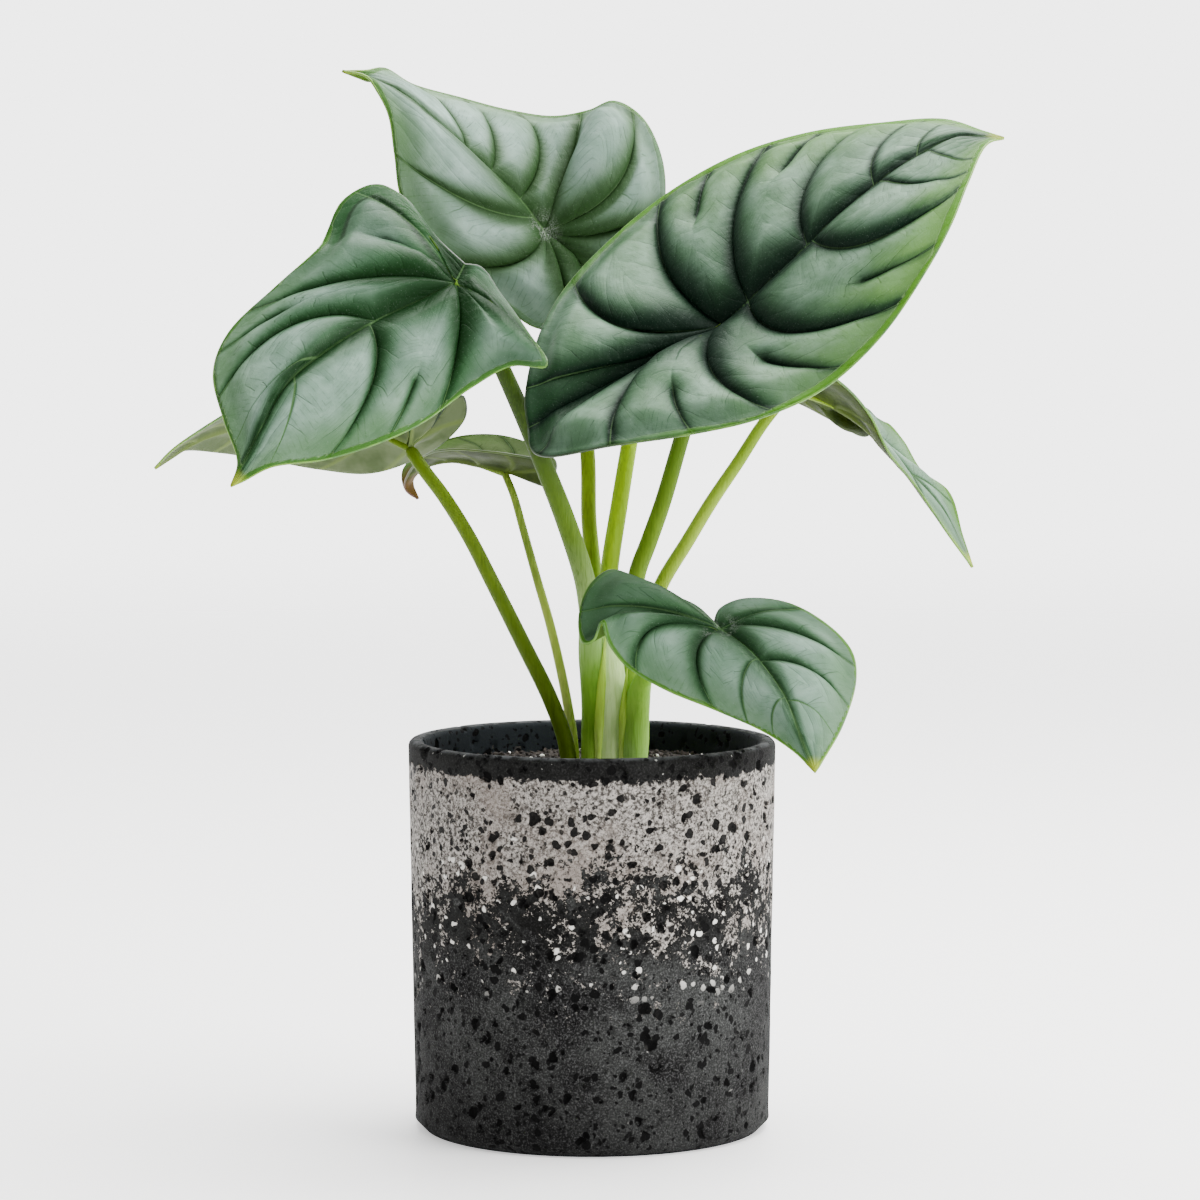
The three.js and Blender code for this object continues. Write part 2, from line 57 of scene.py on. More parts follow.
class Reading:
    """One output of a network of nodes. Arithmetic on it adds Math nodes."""

    def __init__(self, network, socket):
        self.network, self.socket = network, socket

    def maths(self, operation, *values):
        return self.network.add("ShaderNodeMath", {"operation": operation}, dict(enumerate(values)))

    def output(self, name):
        outlets = self.socket.node.outputs
        return Reading(self.network, next(o for o in outlets if o.name == name and o.enabled))

    def __add__(self, other):
        return self.maths("ADD", self, other)

    def __sub__(self, other):
        return self.maths("SUBTRACT", self, other)

    def __rsub__(self, other):
        return self.maths("SUBTRACT", other, self)

    def __mul__(self, other):
        return self.maths("MULTIPLY", self, other)

    def __truediv__(self, other):
        return self.maths("DIVIDE", self, other)

    __radd__, __rmul__ = __add__, __mul__

    def least(self, other):
        return self.maths("MINIMUM", self, other)

    def most(self, other):
        return self.maths("MAXIMUM", self, other)

    def size(self):
        return self.maths("ABSOLUTE", self)

    def climb(self, low, high):
        """0 below low, 1 above high and a smooth rise between."""
        limits = {"Value": self, "From Min": low, "From Max": high}
        return self.network.add("ShaderNodeMapRange", {"interpolation_type": "SMOOTHSTEP"}, limits)

    def fall(self, low, high):
        return 1 - self.climb(low, high)


class Network:
    """A tree of nodes, of a material or of Geometry Nodes."""

    def __init__(self, tree):
        self.tree = tree
        tree.nodes.clear()

    def add(self, kind, settings=None, inputs=None, output=None):
        node = self.tree.nodes.new(kind)
        for name, value in (settings or {}).items():
            setattr(node, name, value)
        for name, value in (inputs or {}).items():
            sockets = [socket for socket in node.inputs if socket.enabled]
            named = [socket for socket in sockets if socket.name == name]
            socket = node.inputs[name] if isinstance(name, int) else named[0]
            if isinstance(value, Reading):
                self.tree.links.new(value.socket, socket)
            elif socket.type == "RGBA":
                socket.default_value = (*tone(value), 1.0)
            else:
                socket.default_value = value
        outlets = [socket for socket in node.outputs if socket.enabled and output in (None, socket.name)]
        return Reading(self, outlets[0])

    def place(self, scale=(1.0, 1.0, 1.0)):
        """The point on the object, in metres times scale."""
        point = self.add("ShaderNodeTexCoord", output="Object")
        return self.add("ShaderNodeMapping", {}, {"Vector": point, "Scale": scale})

    def part(self, vector, axis):
        return self.add("ShaderNodeSeparateXYZ", {}, {"Vector": vector}, axis)

    def fact(self, name):
        """A number that the points of the mesh hold."""
        return self.add("ShaderNodeAttribute", {"attribute_name": name}, {}, "Fac")

    def vector(self, operation, inputs):
        return self.add("ShaderNodeVectorMath", {"operation": operation}, inputs)

    def noise(self, point, scale, detail=2.0, rough=0.5, distortion=0.0, output=None):
        inputs = {"Vector": point, "Scale": scale, "Detail": detail, "Roughness": rough}
        return self.add("ShaderNodeTexNoise", {}, {**inputs, "Distortion": distortion}, output)

    def mix(self, share, first, second):
        inputs = {"Factor": share, "A": first, "B": second}
        return self.add("ShaderNodeMix", {"data_type": "RGBA", "clamp_factor": True}, inputs)

    def layers(self, ground, *coats):
        """Coats of colour on a ground, each given as how much of it shows, and its colour."""
        for share, colour in coats:
            ground = self.mix(share, ground, colour)
        return ground

    def surface(self, constants, varying, relief=None):
        """The Principled shader as the output, with a relief in metres."""
        inputs = {**constants, **varying}
        if relief is not None:
            bump = {"Distance": 1.0, "Strength": 1.0, "Height": relief}
            inputs["Normal"] = self.add("ShaderNodeBump", {}, bump)
        shader = self.add("ShaderNodeBsdfPrincipled", {}, inputs)
        exit_node = self.tree.nodes.new("ShaderNodeOutputMaterial")
        self.tree.links.new(shader.socket, exit_node.inputs["Surface"])


def finish(name):
    """A new material and its empty network."""
    material = bpy.data.materials.new(name)
    material.use_nodes = True
    return material, Network(material.node_tree)


def growth(name, sockets):
    """A new Geometry Nodes tree with named inputs, as its network and a reading of each input."""
    tree = bpy.data.node_groups.new(name, "GeometryNodeTree")
    tree.interface.new_socket("Geometry", in_out="OUTPUT", socket_type="NodeSocketGeometry")
    sockets = {"Geometry": "Geometry", **sockets}
    for label, kind in sockets.items():
        tree.interface.new_socket(label, in_out="INPUT", socket_type="NodeSocket" + kind)
    network = Network(tree)
    entry = network.add("NodeGroupInput")
    return network, {label: entry.output(label) for label in sockets}


def grown(network, geometry, material):
    """Closes a tree: its instances are made real and take the material."""
    real = network.add("GeometryNodeRealizeInstances", {}, {"Geometry": geometry})
    coated = network.add("GeometryNodeSetMaterial", {}, {"Geometry": real, "Material": material})
    exit_node = network.tree.nodes.new("NodeGroupOutput")
    network.tree.links.new(coated.socket, exit_node.inputs["Geometry"])
    return network.tree


def put(name, data):
    """A new object at the origin, in the scene."""
    piece = bpy.data.objects.new(name, data)
    bpy.context.scene.collection.objects.link(piece)
    return piece


def shade_smooth(mesh):
    mesh.polygons.foreach_set("use_smooth", np.ones(len(mesh.polygons), bool))


def grow(start, tree, values):
    """Runs a tree on a mesh and keeps the result as that object's plain mesh."""
    modifier = start.modifiers.new(tree.name, "NODES")
    modifier.node_group = tree
    for item in tree.interface.items_tree:
        if item.in_out == "INPUT" and item.name in values:
            modifier[item.identifier] = values[item.name]
    bpy.context.view_layer.update()
    evaluated = start.evaluated_get(bpy.context.evaluated_depsgraph_get())
    plain = bpy.data.meshes.new_from_object(evaluated)
    start.modifiers.clear()
    start.data = plain
    shade_smooth(plain)
    return start


def mesh_piece(name, points, faces):
    """An object at the origin with these points and faces, smooth shaded."""
    mesh = bpy.data.meshes.new(name)
    mesh.from_pydata(points, [], faces)
    shade_smooth(mesh)
    return put(name, mesh)


def turned(name, profile, segments):
    """A profile of (radius, height) turned round the upright axis. It starts and ends on the axis."""
    turn = np.arange(segments) * 2 * math.pi / segments
    rings = [np.stack([r * np.cos(turn), r * np.sin(turn), turn * 0 + z], 1) for r, z in profile[1:-1]]
    points = np.vstack([[(0, 0, profile[0][1])], *rings, [(0, 0, profile[-1][1])]])
    faces = []
    for k in range(segments):
        after = (k + 1) % segments
        faces.append((0, 1 + after, 1 + k))
        for ring in range(len(rings) - 1):
            low, high = 1 + ring * segments, 1 + (ring + 1) * segments
            faces.append((low + k, low + after, high + after, high + k))
        last = 1 + (len(rings) - 1) * segments
        faces.append((last + k, last + after, len(points) - 1))
    return mesh_piece(name, points, faces)


POT_HEIGHT, POT_FLOOR = 0.1275, 0.008
RIM_RADIUS, BASE_RADIUS, MOUTH_RADIUS, INNER_RADIUS = 0.060, 0.058, 0.0544, 0.054
LIP_ROUND, FOOT_CHAMFER = 0.0024, 0.0032
WALL_STEPS, LIP_STEPS, POT_SEGMENTS = 150, 9, 480
PORE_DEPTH, WALL_SWAY, LARGE_PORES = 0.0011, 0.0004, (0.0058, 0.4, 1.1, 0.0)


def pores(network, point, cell, reach, share, seed):
    """Spots of irregular outline: 1 inside one, 0 outside. A share of the cells, more in some places
    than in others, hold a spot of up to reach cells across."""
    bent = point
    for fineness, amount in ((1.3, 0.7), (4.0, 0.14)):
        warp = network.noise(bent, fineness / cell, 1.0, output="Color")
        bent = network.vector("MULTIPLY_ADD", {0: warp, 1: (cell * amount,) * 3, 2: bent})
    bent = network.vector("ADD", {0: bent, 1: (seed, seed / 2, seed / 3)})
    spot = network.add("ShaderNodeTexVoronoi", {}, {"Vector": bent, "Scale": 1 / cell})
    lot = network.part(spot.output("Color"), "X")
    crowd = network.noise(point, 0.25 / cell, 1.0).climb(0.38, 0.6)
    held = (share * (crowd * 1.1 + 0.5) - lot).climb(0.0, 0.02)
    return (reach * (lot.output("Y") * 0.65 + 0.35) - spot).climb(0.0, 0.06) * held


stone, n = finish("cast_stone")
point = n.place()
height = n.part(point, "Z")
grit = n.noise(point, 1700.0, 2.0, 0.7)
cloud = n.noise(point, 45.0, 4.0, 0.6)
blotch = n.noise(point, 190.0, 5.0, 0.7, 0.4)
stipple = n.noise(point, 900.0, 3.0, 0.75)
lip = (height + (blotch - 0.5) * 0.010).climb(0.1197, 0.1204)
burnt = height.climb(0.056, 0.074) * height.fall(0.104, 0.110)
dust = pores(n, point, 0.0032, 0.16, 0.35, 0.53)
# Lighter grey in patches along the top of the lip.
pale_lip_top = height.climb(0.1262, 0.1274) * blotch.climb(0.35, 0.6)
axis = n.vector("LENGTH", {0: n.place((1.0, 1.0, 0.0))})
outside = axis.climb(0.0552, 0.0556)
stone_colour = n.layers(
    n.mix(cloud.climb(0.38, 0.62), (12, 12, 12), (42, 43, 42)),
    (grit.climb(0.45, 0.75) * 0.5, (98, 98, 98)),
    (grit.fall(0.3, 0.5) * 0.6, (8, 8, 8)),
    (burnt * blotch.climb(0.32, 0.46) * 0.75, (5, 5, 4)),
    (lip * 0.75, (10, 10, 9)),
    (dust * (lip * 0.6 + 0.15), (150, 150, 146)),
    (pale_lip_top * 0.5, (92, 94, 96)),
    (1 - outside, (26, 30, 33)))
# Paint: whole above, breaking up on the way down
level = height + (n.noise(point, 16.0, 1.0) - 0.5) * 0.05 + (cloud - 0.5) * 0.03
cover = height.climb(0.060, 0.112) * 0.42 + level.climb(0.070, 0.106) * 0.34
cover = cover + height.climb(0.05, 0.06) * 0.2
ragged = (blotch - 0.5) * 2.4 + (stipple - 0.5) * 1.6 + (n.noise(point, 80.0, 3.0) - 0.5) * 1.2
paint = (cover - 0.5 + ragged).climb(-0.06, 0.06) * (1 - lip) * outside * height.climb(0.034, 0.058)
paint_colour = n.layers(
    n.mix(stipple.climb(0.39, 0.61), (56, 53, 50), (158, 153, 147)),
    (cloud.climb(0.42, 0.7) * 0.7, (120, 111, 104)),
    (grit.fall(0.36, 0.48) * 0.6, (44, 42, 40)))
specks = pores(n, point, 0.0044, 0.36, 0.62, 0.31) * height.climb(0.046, 0.062) * height.fall(0.088, 0.104)
white = specks.most(pores(n, point, 0.012, 0.12, 0.4, 0.77) * height.fall(0.10, 0.11))
large, medium = pores(n, point, *LARGE_PORES), pores(n, point, 0.0042, 0.4, 1.3, 0.13)
hollow = large.most(medium).most(pores(n, point, 0.0025, 0.34, 1.2, 0.41) * 0.9)
body = n.layers(
    stone_colour,
    (paint, paint_colour),
    (white * 0.9, (214, 212, 206)),
    (height.fall(0.0, 0.05) * 0.4, (12, 12, 12)),
    # Near black in the pores: the bare stone, made darker by painted shade in the holes
    (hollow * 0.97, (2, 2, 2)))
relief = paint.most(white) * 0.00012 + (grit - 0.5) * 0.00022 + (blotch - 0.5) * 0.0003 - hollow * 0.0006
n.surface({"Specular IOR Level": 0.08}, {"Base Color": body, "Roughness": 0.86 - paint * 0.2}, relief)

n, given = growth("pore_pressing", {"Pore depth": "Float", "Sway": "Float"})
point = n.add("GeometryNodeInputPosition")
facing = n.add("GeometryNodeInputNormal")
clear_of_foot = n.part(point, "Z").climb(0.002, 0.006)
depth = pores(n, point, *LARGE_PORES) * given["Pore depth"] + n.noise(point, 45.0, 2.0) * given["Sway"]
press = n.vector("SCALE", {0: facing, "Scale": 0 - depth * clear_of_foot})
pressed = n.add("GeometryNodeSetPosition", {}, {"Geometry": given["Geometry"], "Offset": press})
pressing = grown(n, pressed, stone)

wall = [(lerp(BASE_RADIUS, RIM_RADIUS, share), lerp(FOOT_CHAMFER, POT_HEIGHT - LIP_ROUND, share))
        for share in np.linspace(0, 1, WALL_STEPS)]
rounding = [(LIP_ROUND * (1 - math.cos(turn)), LIP_ROUND * (1 - math.sin(turn)))
            for turn in np.linspace(0, math.pi / 2, LIP_STEPS)]
outer_lip = [(RIM_RADIUS - inward, POT_HEIGHT - down) for inward, down in rounding]
inner_lip = [(MOUTH_RADIUS + outward, POT_HEIGHT - down) for down, outward in rounding]
inner_wall = [(INNER_RADIUS, z) for z in (*np.linspace(0.1225, 0.112, 10), 0.06, POT_FLOOR)]
profile = [(0, 0), (0.03, 0), (BASE_RADIUS - FOOT_CHAMFER, 0), *wall, *outer_lip[1:], *inner_lip,
           *inner_wall, (0.02, POT_FLOOR), (0, POT_FLOOR)]
pot = turned("stone_pot", profile, POT_SEGMENTS)
grow(pot, pressing, {"Pore depth": PORE_DEPTH, "Sway": WALL_SWAY})
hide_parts("pot")
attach(pot, "root")


# The soil. Dark, crumbly potting soil that fills the pot to a centimetre below the lip, with
# crumbs of peat and white grains of perlite lying on it.
SOIL_BOTTOM, SOIL_TOP, SOIL_RADIUS = 0.0083, 0.117, 0.0537
SOIL_MOUND, SOIL_LUMP, SOIL_RINGS, SOIL_SEGMENTS = 0.0016, 0.0007, 48, 150

earth, n = finish("potting_soil")
point = n.place()
clod = n.noise(point, 500.0, 4.0, 0.65)
colour = n.mix(clod.climb(0.35, 0.65), (20, 17, 15), (52, 45, 40))
varying = {"Base Color": colour, "Roughness": 0.95 - clod * 0.15}
n.surface({"Specular IOR Level": 0.25}, varying, clod * 0.0012)
perlite, n = finish("perlite")
chalk = n.noise(n.place(), 1600.0, 3.0)
colour = n.mix(chalk, (196, 194, 188), (240, 240, 236))
n.surface({}, {"Base Color": colour, "Roughness": 0.8 + chalk * 0.1}, chalk * 0.0003)

top = [(radius, SOIL_TOP) for radius in np.linspace(SOIL_RADIUS, 0.0, SOIL_RINGS)]
soil = turned("soil_fill", [(0, SOIL_BOTTOM), (SOIL_RADIUS, SOIL_BOTTOM), *top], SOIL_SEGMENTS)
for vertex in soil.data.vertices:
    if vertex.co.z > SOIL_TOP - 0.001:
        x, y = vertex.co.x, vertex.co.y
        inward = 1 - math.hypot(x, y) / SOIL_RADIUS
        ripple = 0.6 * math.sin((x - y) / 0.0022)
        lumps = math.sin(x / 0.0034) * math.cos(y / 0.0034) + ripple
        vertex.co.z = SOIL_TOP + SOIL_MOUND * inward + SOIL_LUMP * lumps * min(1, inward / 0.16)
soil.data.materials.append(earth)
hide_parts("soil")
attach(soil, "root")

n, given = growth("scattered_grains", {
    "Grain": "Float", "Density": "Float", "Seed": "Int", "Material": "Material"})
facing = n.part(n.add("GeometryNodeInputNormal"), "Z")
level = n.add("FunctionNodeCompare", {"operation": "GREATER_THAN"}, {"A": facing, "B": 0.6})
seed = {"Seed": given["Seed"]}
dots = n.add("GeometryNodeDistributePointsOnFaces", {}, {
    "Mesh": given["Geometry"], "Selection": level, "Density": given["Density"], **seed})
ball = n.add("GeometryNodeMeshIcoSphere", {}, {"Radius": given["Grain"], "Subdivisions": 2})
spin, girth = (
    n.add("FunctionNodeRandomValue", {"data_type": "FLOAT_VECTOR"}, {"Min": least, "Max": most, **seed})
    for least, most in (((0, 0, 0), (6.3, 6.3, 6.3)), ((0.45, 0.45, 0.35), (1.5, 1.2, 1.0))))
laid = n.add("GeometryNodeInstanceOnPoints", {}, {
    "Points": dots, "Instance": ball, "Rotation": spin, "Scale": girth})
real = n.add("GeometryNodeRealizeInstances", {}, {"Geometry": laid})
knock = n.noise(n.add("GeometryNodeInputPosition"), 900.0, output="Color")
centred = n.vector("SUBTRACT", {0: knock, 1: (0.5, 0.5, 0.5)})
dent = n.vector("SCALE", {0: centred, "Scale": given["Grain"] * 1.3})
rough_grains = n.add("GeometryNodeSetPosition", {}, {"Geometry": real, "Offset": dent})
scattering = grown(n, rough_grains, given["Material"])

for name, grain, density, seed, material in (
    ("peat_crumbs", 0.0011, 160000.0, 3, earth),
    ("perlite_grains", 0.0010, 9000.0, 11, perlite),
):
    values = {"Grain": grain, "Density": density, "Seed": seed, "Material": material}
    grains = grow(put(name, soil.data.copy()), scattering, values)
    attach(grains, "root")


# The crown. Fleshy leaf sheaths stand close together in the soil round a short stem, pale at their
# feet and green above. They are round bars along smooth lines, with two pointed papery bracts.
class Line:
    """A smooth line through points, read at shares of its length (centripetal Catmull-Rom)."""

    FINENESS = 64

    def __init__(self, points):
        p = np.array(points, float)
        p = np.vstack([2 * p[0] - p[1], p, 2 * p[-1] - p[-2]])
        t = np.linspace(0, 1, self.FINENESS, endpoint=False)[:, None]
        pieces = []
        for a, b, c, d in zip(p, p[1:], p[2:], p[3:]):
            before, within, after = (math.sqrt(math.dist(*pair)) for pair in ((a, b), (b, c), (c, d)))
            leave = ((b - a) / before - (c - a) / (before + within)) * within + c - b
            reach = ((d - c) / after - (d - b) / (within + after)) * within + c - b
            pieces.append(b + leave * t + (3 * (c - b) - 2 * leave - reach) * t**2
                          + (2 * (b - c) + leave + reach) * t**3)
        self.points = np.vstack([*pieces, p[-2:-1]])
        run = np.append(0, np.cumsum(np.linalg.norm(np.diff(self.points, axis=0), axis=1)))
        self.length = run[-1]
        self.shares = run / run[-1]

    def at(self, share):
        return np.stack([np.interp(share, self.shares, axis) for axis in self.points.T], -1)

    def heading(self, share, reach=0.004):
        ahead = self.at(np.minimum(share + reach, 1)) - self.at(np.maximum(share - reach, 0))
        return ahead / np.linalg.norm(ahead, axis=-1, keepdims=True)


n, given = growth("bar_along_a_line", {"Sides": "Int", "Material": "Material"})
line = n.add("GeometryNodeMeshToCurve", {}, {"Mesh": given["Geometry"]})
ring = n.add("GeometryNodeCurvePrimitiveCircle", {}, {"Resolution": given["Sides"], "Radius": 1.0})
girth = n.add("GeometryNodeInputNamedAttribute", {"data_type": "FLOAT"}, {"Name": "girth"}, "Attribute")
tube = n.add("GeometryNodeCurveToMesh", {}, {
    "Curve": line, "Profile Curve": ring, "Scale": girth, "Fill Caps": True})
bar_tree = grown(n, tube, given["Material"])


def bar(name, lines, material, sides=24):
    """Round bars along lines. A line is its points and their girths (radii), both in metres. Each
    point of a bar knows its share of the length, as the attribute share."""
    points = np.vstack([path for path, _ in lines])
    counts = [len(path) for path, _ in lines]
    starts = np.cumsum([0, *counts])
    edges = [(k, k + 1) for start, count in zip(starts, counts) for k in range(start, start + count - 1)]
    mesh = bpy.data.meshes.new(name)
    mesh.from_pydata(points, edges, [])
    girths = [girths for _, girths in lines]
    shares = [np.linspace(0, 1, count) for count in counts]
    for fact, values in (("girth", girths), ("share", shares)):
        mesh.attributes.new(fact, "FLOAT", "POINT").data.foreach_set("value", np.hstack(values))
    return grow(put(name, mesh), bar_tree, {"Sides": sides, "Material": material})


MM = 0.001
SHEATHS = {
    "stem": ([(5, 0, 100), (5, 0.5, 128), (4, 0, 162)], [6, 5.2, 3.2], ((214, 230, 150), (186, 214, 110),
        (130, 166, 46), 0.115, 0.165, (160, 190, 84))),
    "front_left": ([(-0.5, -5, 102), (-0.5, -5, 123), (0, -5, 141), (-0.5, -6, 160), (-0.5, -6.5, 171)], [2.6,
        2.7, 3, 3.6, 3.5], ((146, 186, 74), (108, 154, 36), (140, 174, 104), 0.11, 0.172, (84, 130, 20))),
    "top": ([(2, 5, 102), (2, 5, 122), (2, 5.5, 142), (1.5, 6, 171)], [3.4, 3.4, 3, 2.6], ((130, 166, 50),
        (112, 148, 28), (120, 152, 30), 0.11, 0.168, (80, 113, 14))),
    "back": ([(6, -2, 102), (6, -2, 123), (6, -2, 143), (5, -1.5, 160), (5, -1, 171)], [3.9, 3.9, 4, 3.3, 3],
        ((222, 248, 176), (212, 242, 164), (134, 168, 30), 0.14, 0.17, (168, 206, 104))),
    "front_right": ([(11.5, 1, 102), (11.5, 1, 122), (12.5, 0, 143), (13.5, -1, 171)], [3.6, 3.6, 3.6, 2.9],
        ((186, 214, 112), (144, 182, 58), (130, 170, 60), 0.11, 0.17, (106, 142, 28))),
    "far_right": ([(14.5, 5, 102), (14.5, 5, 122), (16, 5, 142), (19.5, 4, 171)], [3, 3, 2.8, 2.4],
        ((180, 204, 92), (158, 188, 60), (126, 150, 38), 0.11, 0.168, (126, 156, 44))),
    "low_front": ([(13, -5, 102), (13.5, -5, 123), (14.5, -6.5, 137), (16, -10, 146), (18, -12.6, 150.6)],
        [3.6, 3.7, 4.1, 3.4, 2.6], ((160, 206, 108), (142, 190, 70), (120, 168, 44), 0.118, 0.155,
        (112, 164, 44))),
    "bract_left": ([(1.8, -7, 103), (2, -7.4, 125), (2.8, -7.8, 142), (3.6, -7.6, 153), (4.3, -6.8, 161)],
        [0.6, 0.7, 1.4, 1.3, 0.2], ((190, 220, 110), (166, 202, 66), (176, 210, 90), 0.12, 0.165,
        (144, 182, 50))),
    "bract_right": ([(9.4, -7.6, 103), (9.6, -7.8, 125), (10.4, -8.2, 140), (11.4, -8, 151)], [0.5, 0.6, 1.3,
        0.2]),
}


def flesh(name, foot, middle, head, low, high, streak):
    """Juicy plant flesh that changes from foot to middle to head colour between two heights."""
    material, n = finish(name)
    point = n.place()
    fibre = n.noise(n.place((1.0, 1.0, 0.06)), 1500.0, 3.0, 0.6)
    cloud = n.noise(point, 90.0, 2.0)
    height = n.part(point, "Z")
    rise = height + (cloud - 0.5) * 0.012
    colour = n.mix(rise.climb(low, (low + high) / 2), foot, middle)
    colour = n.mix(rise.climb((low + high) / 2, high), colour, head)
    colour = n.mix(fibre.climb(0.42, 0.72) * 0.55, colour, streak)
    colour = n.mix(cloud.fall(0.25, 0.5) * 0.3, colour, streak)
    juice = {"Subsurface Weight": 0.08, "Subsurface Radius": (0.6, 1.0, 0.3), "Subsurface Scale": 0.003}
    varying = {"Base Color": colour, "Roughness": 0.42 + fibre * 0.15}
    n.surface({"Specular IOR Level": 0.1, **juice}, varying, (fibre - 0.5) * 0.00025)
    return material


SHEATH_STEP, SHEATH_SWELL, SHEATH_LIP = 1.2, {"back": 1.55, "low_front": 1.2}, 0.97
for name, (path, radii, *look) in SHEATHS.items():
    if look:
        material = flesh("sheath_" + name, *look[0])
    line = Line(path)
    shares = np.linspace(0, 1, round(line.length / SHEATH_STEP))
    swell = SHEATH_SWELL.get(name, 1.12)
    girths = np.interp(shares, np.linspace(0, 1, len(radii)), radii)
    girths *= np.interp(shares, (0, 0.8, 1), (swell, swell, SHEATH_LIP))
    sheath = bar("crown_" + name, [(line.at(shares) * MM, girths * MM)], material)
    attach(sheath, "root")
    if name == "stem":
        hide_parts("crown")


# The stalks. Smooth round leaf stalks rise out of their sheaths, or out of the soil, and thin
# towards the blade. Each ends at the underside of its blade.
STALKS = {
    "front_right": ((2.9, 2.2), [(14.6, -2.5, 181), (18.5, -3.5, 192), (23, -5.5, 205), (28.7, -9, 225),
        (34, -13, 243)], ((128, 160, 62), (84, 112, 12), (62, 88, 2), 0.16, 0.225, (60, 88, 4))),
    "front_left": ((3.5, 2.2), [(-2.4, -8, 180), (-8.4, -11.5, 199), (-14.5, -15.5, 215), (-23, -22, 236),
        (-32, -31, 256)], ((136, 164, 98), (74, 100, 18), (34, 54, 0), 0.165, 0.228, (54, 78, 6))),
    "top": ((2.6, 2), [(0.5, 7, 182), (-1, 9, 198), (-1.5, 14, 220), (-6, 28, 252), (-11, 37, 273)],
        ((120, 152, 30), (104, 130, 10), (94, 116, 6), 0.17, 0.24, (76, 84, 6))),
    "low_front": ((2.6, 1.8), [(18.5, -13, 151), (25, -19, 154.5), (33, -27, 158.5)], ((107, 142, 26),
        (102, 138, 22), (98, 133, 18), 0.15, 0.165, (74, 112, 14))),
    "far_left": ((2.7, 2.1), [(-6.5, -4, 106), (-8.5, -4, 126), (-13.3, -4, 140), (-22.5, -4.5, 159),
        (-32.4, -5.3, 179), (-40, -6.3, 194), (-48, -7.4, 207), (-54, -7.6, 215)], ((80, 102, 4), (68, 90, 0),
        (76, 98, 2), 0.12, 0.2, (52, 72, 0))),
    "small_folded": ((1.7, 1.2), [(-5, 1.5, 106), (-6.2, 2, 126), (-8.5, 3, 141), (-13.4, 5, 163),
        (-18, 7, 179), (-22.5, 9, 195), (-25.6, 10, 206)], ((196, 208, 120), (160, 178, 76), (84, 106, 30),
        0.125, 0.19, (130, 150, 54))),
    "far_right": ((2.4, 1.8), [(23, 4.3, 178), (31, 6.3, 191), (39, 9, 204), (48, 13, 217), (56, 17, 229)],
        ((122, 146, 34), (124, 148, 40), (104, 130, 24), 0.17, 0.225, (96, 124, 20))),
    "back": ((3, 2), [(5.5, 0, 181), (9, 3, 204), (12, 8, 222), (17.5, 26, 252)], ((132, 164, 24),
        (128, 160, 10), (110, 140, 4), 0.17, 0.24, (98, 128, 4))),
}
STALK_STEP, STALK_TAPER, STALK_TIP, SUNK_IN_SHEATH = 1.5, 1.3, 1.5, 3.0
SPINE_GIRTHS = (0.5, 1.2, 0.4)


def place_stalk(name, seat, spine):
    """A stalk from its sheath, or from the soil, through its own points to its seat under the blade,
    and the spine by which it runs on into the midrib."""
    ends, path, look = STALKS[name]
    path = [*path, tuple(seat)]
    if name in SHEATHS:
        sheath = Line(SHEATHS[name][0])
        path.insert(0, tuple(sheath.at(1) - SUNK_IN_SHEATH * sheath.heading(1)))
    line = Line(path)
    shares = np.linspace(0, 1, round(line.length / STALK_STEP))
    girths = lerp(*ends, shares**STALK_TAPER)
    girths = np.minimum(girths, np.interp((1 - shares) * line.length, (0, 6), (STALK_TIP, 3 * STALK_TIP)))
    slim = np.interp(np.linspace(0, 1, len(spine)), (0, 0.12, 1), SPINE_GIRTHS)
    bars = [(line.at(shares) * MM, girths * MM), (spine * MM, slim * MM)]
    stalk = bar("stalk_" + name, bars, flesh("stalk_" + name, *look))
    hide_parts("petiole_" + name)
    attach(stalk, "root")


# The blades. Thick, brittle, arrow-shaped leaves, silver between dark sunken veins and quilted:
# the skin bulges up between the veins. Both halves are swept from the midrib to the margin along
# lines that bow like the veins, then thickened, with ribs under the veins and a fine bead as margin.
BLADES = {}
BLADES["front_right"] = {
    "relief": 4.2, "seam": 1.4, "camber": 0.04, "banks": (1.25, 0.55), "lobes": (0.1, 0.08),
    "colours": ((104, 130, 110), (70, 98, 72), (24, 50, 28), (5, 22, 13), (60, 106, 14)),
    "skin": (6.4, 1.0, 0.46, 0.75), "green": 0.65, "shade": 0.85, "coat": 0.05, "shine": 0.06,
    "sinus": (-20, -34, 230),
    "midrib": [(42, -20, 262), (60, -24, 279), (79, -25, 297), (98, -21, 312), (116, -15, 321),
        (132, -12, 322)],
    "left": ([(-21, -30, 239), (-17, -17, 258), (-9, -3, 273), (6, 11, 289), (26, 21, 305), (48, 24, 317),
        (71, 22, 324), (94, 15, 327), (114, 4, 328), (126, -6, 324)], [(0, 0.06, 0.1, 1, 0.8),
        (0, 0.265, 0.58), (0, 0.455, 0.32), (0.1, 0.63, 0.2, 0.62), (0.33, 0.79, 0.3, 0.62),
        (0.58, 0.87, 0.28, 1, 0.7), (0.73, 0.92, 0.2, 1, 0.5)]),
    "right": ([(-19, -40, 224), (-14, -50, 222), (6, -62, 226), (31, -68, 230), (52, -70, 235),
        (72, -66, 244), (90, -60, 260), (105, -51, 281), (113, -43, 295), (119, -32, 308), (126, -18, 320)],
        [(0, 0.065, 0.06, 1, 0.8), (0, 0.19, 0.28), (0, 0.42, 0.4, 0.6), (0.1, 0.665, 0.52, 0.5),
        (0.35, 0.87, 0.62, 0.6), (0.6, 0.9, 0.5, 1, 0.6), (0.76, 0.925, 0.4, 1, 0.5)]),
}
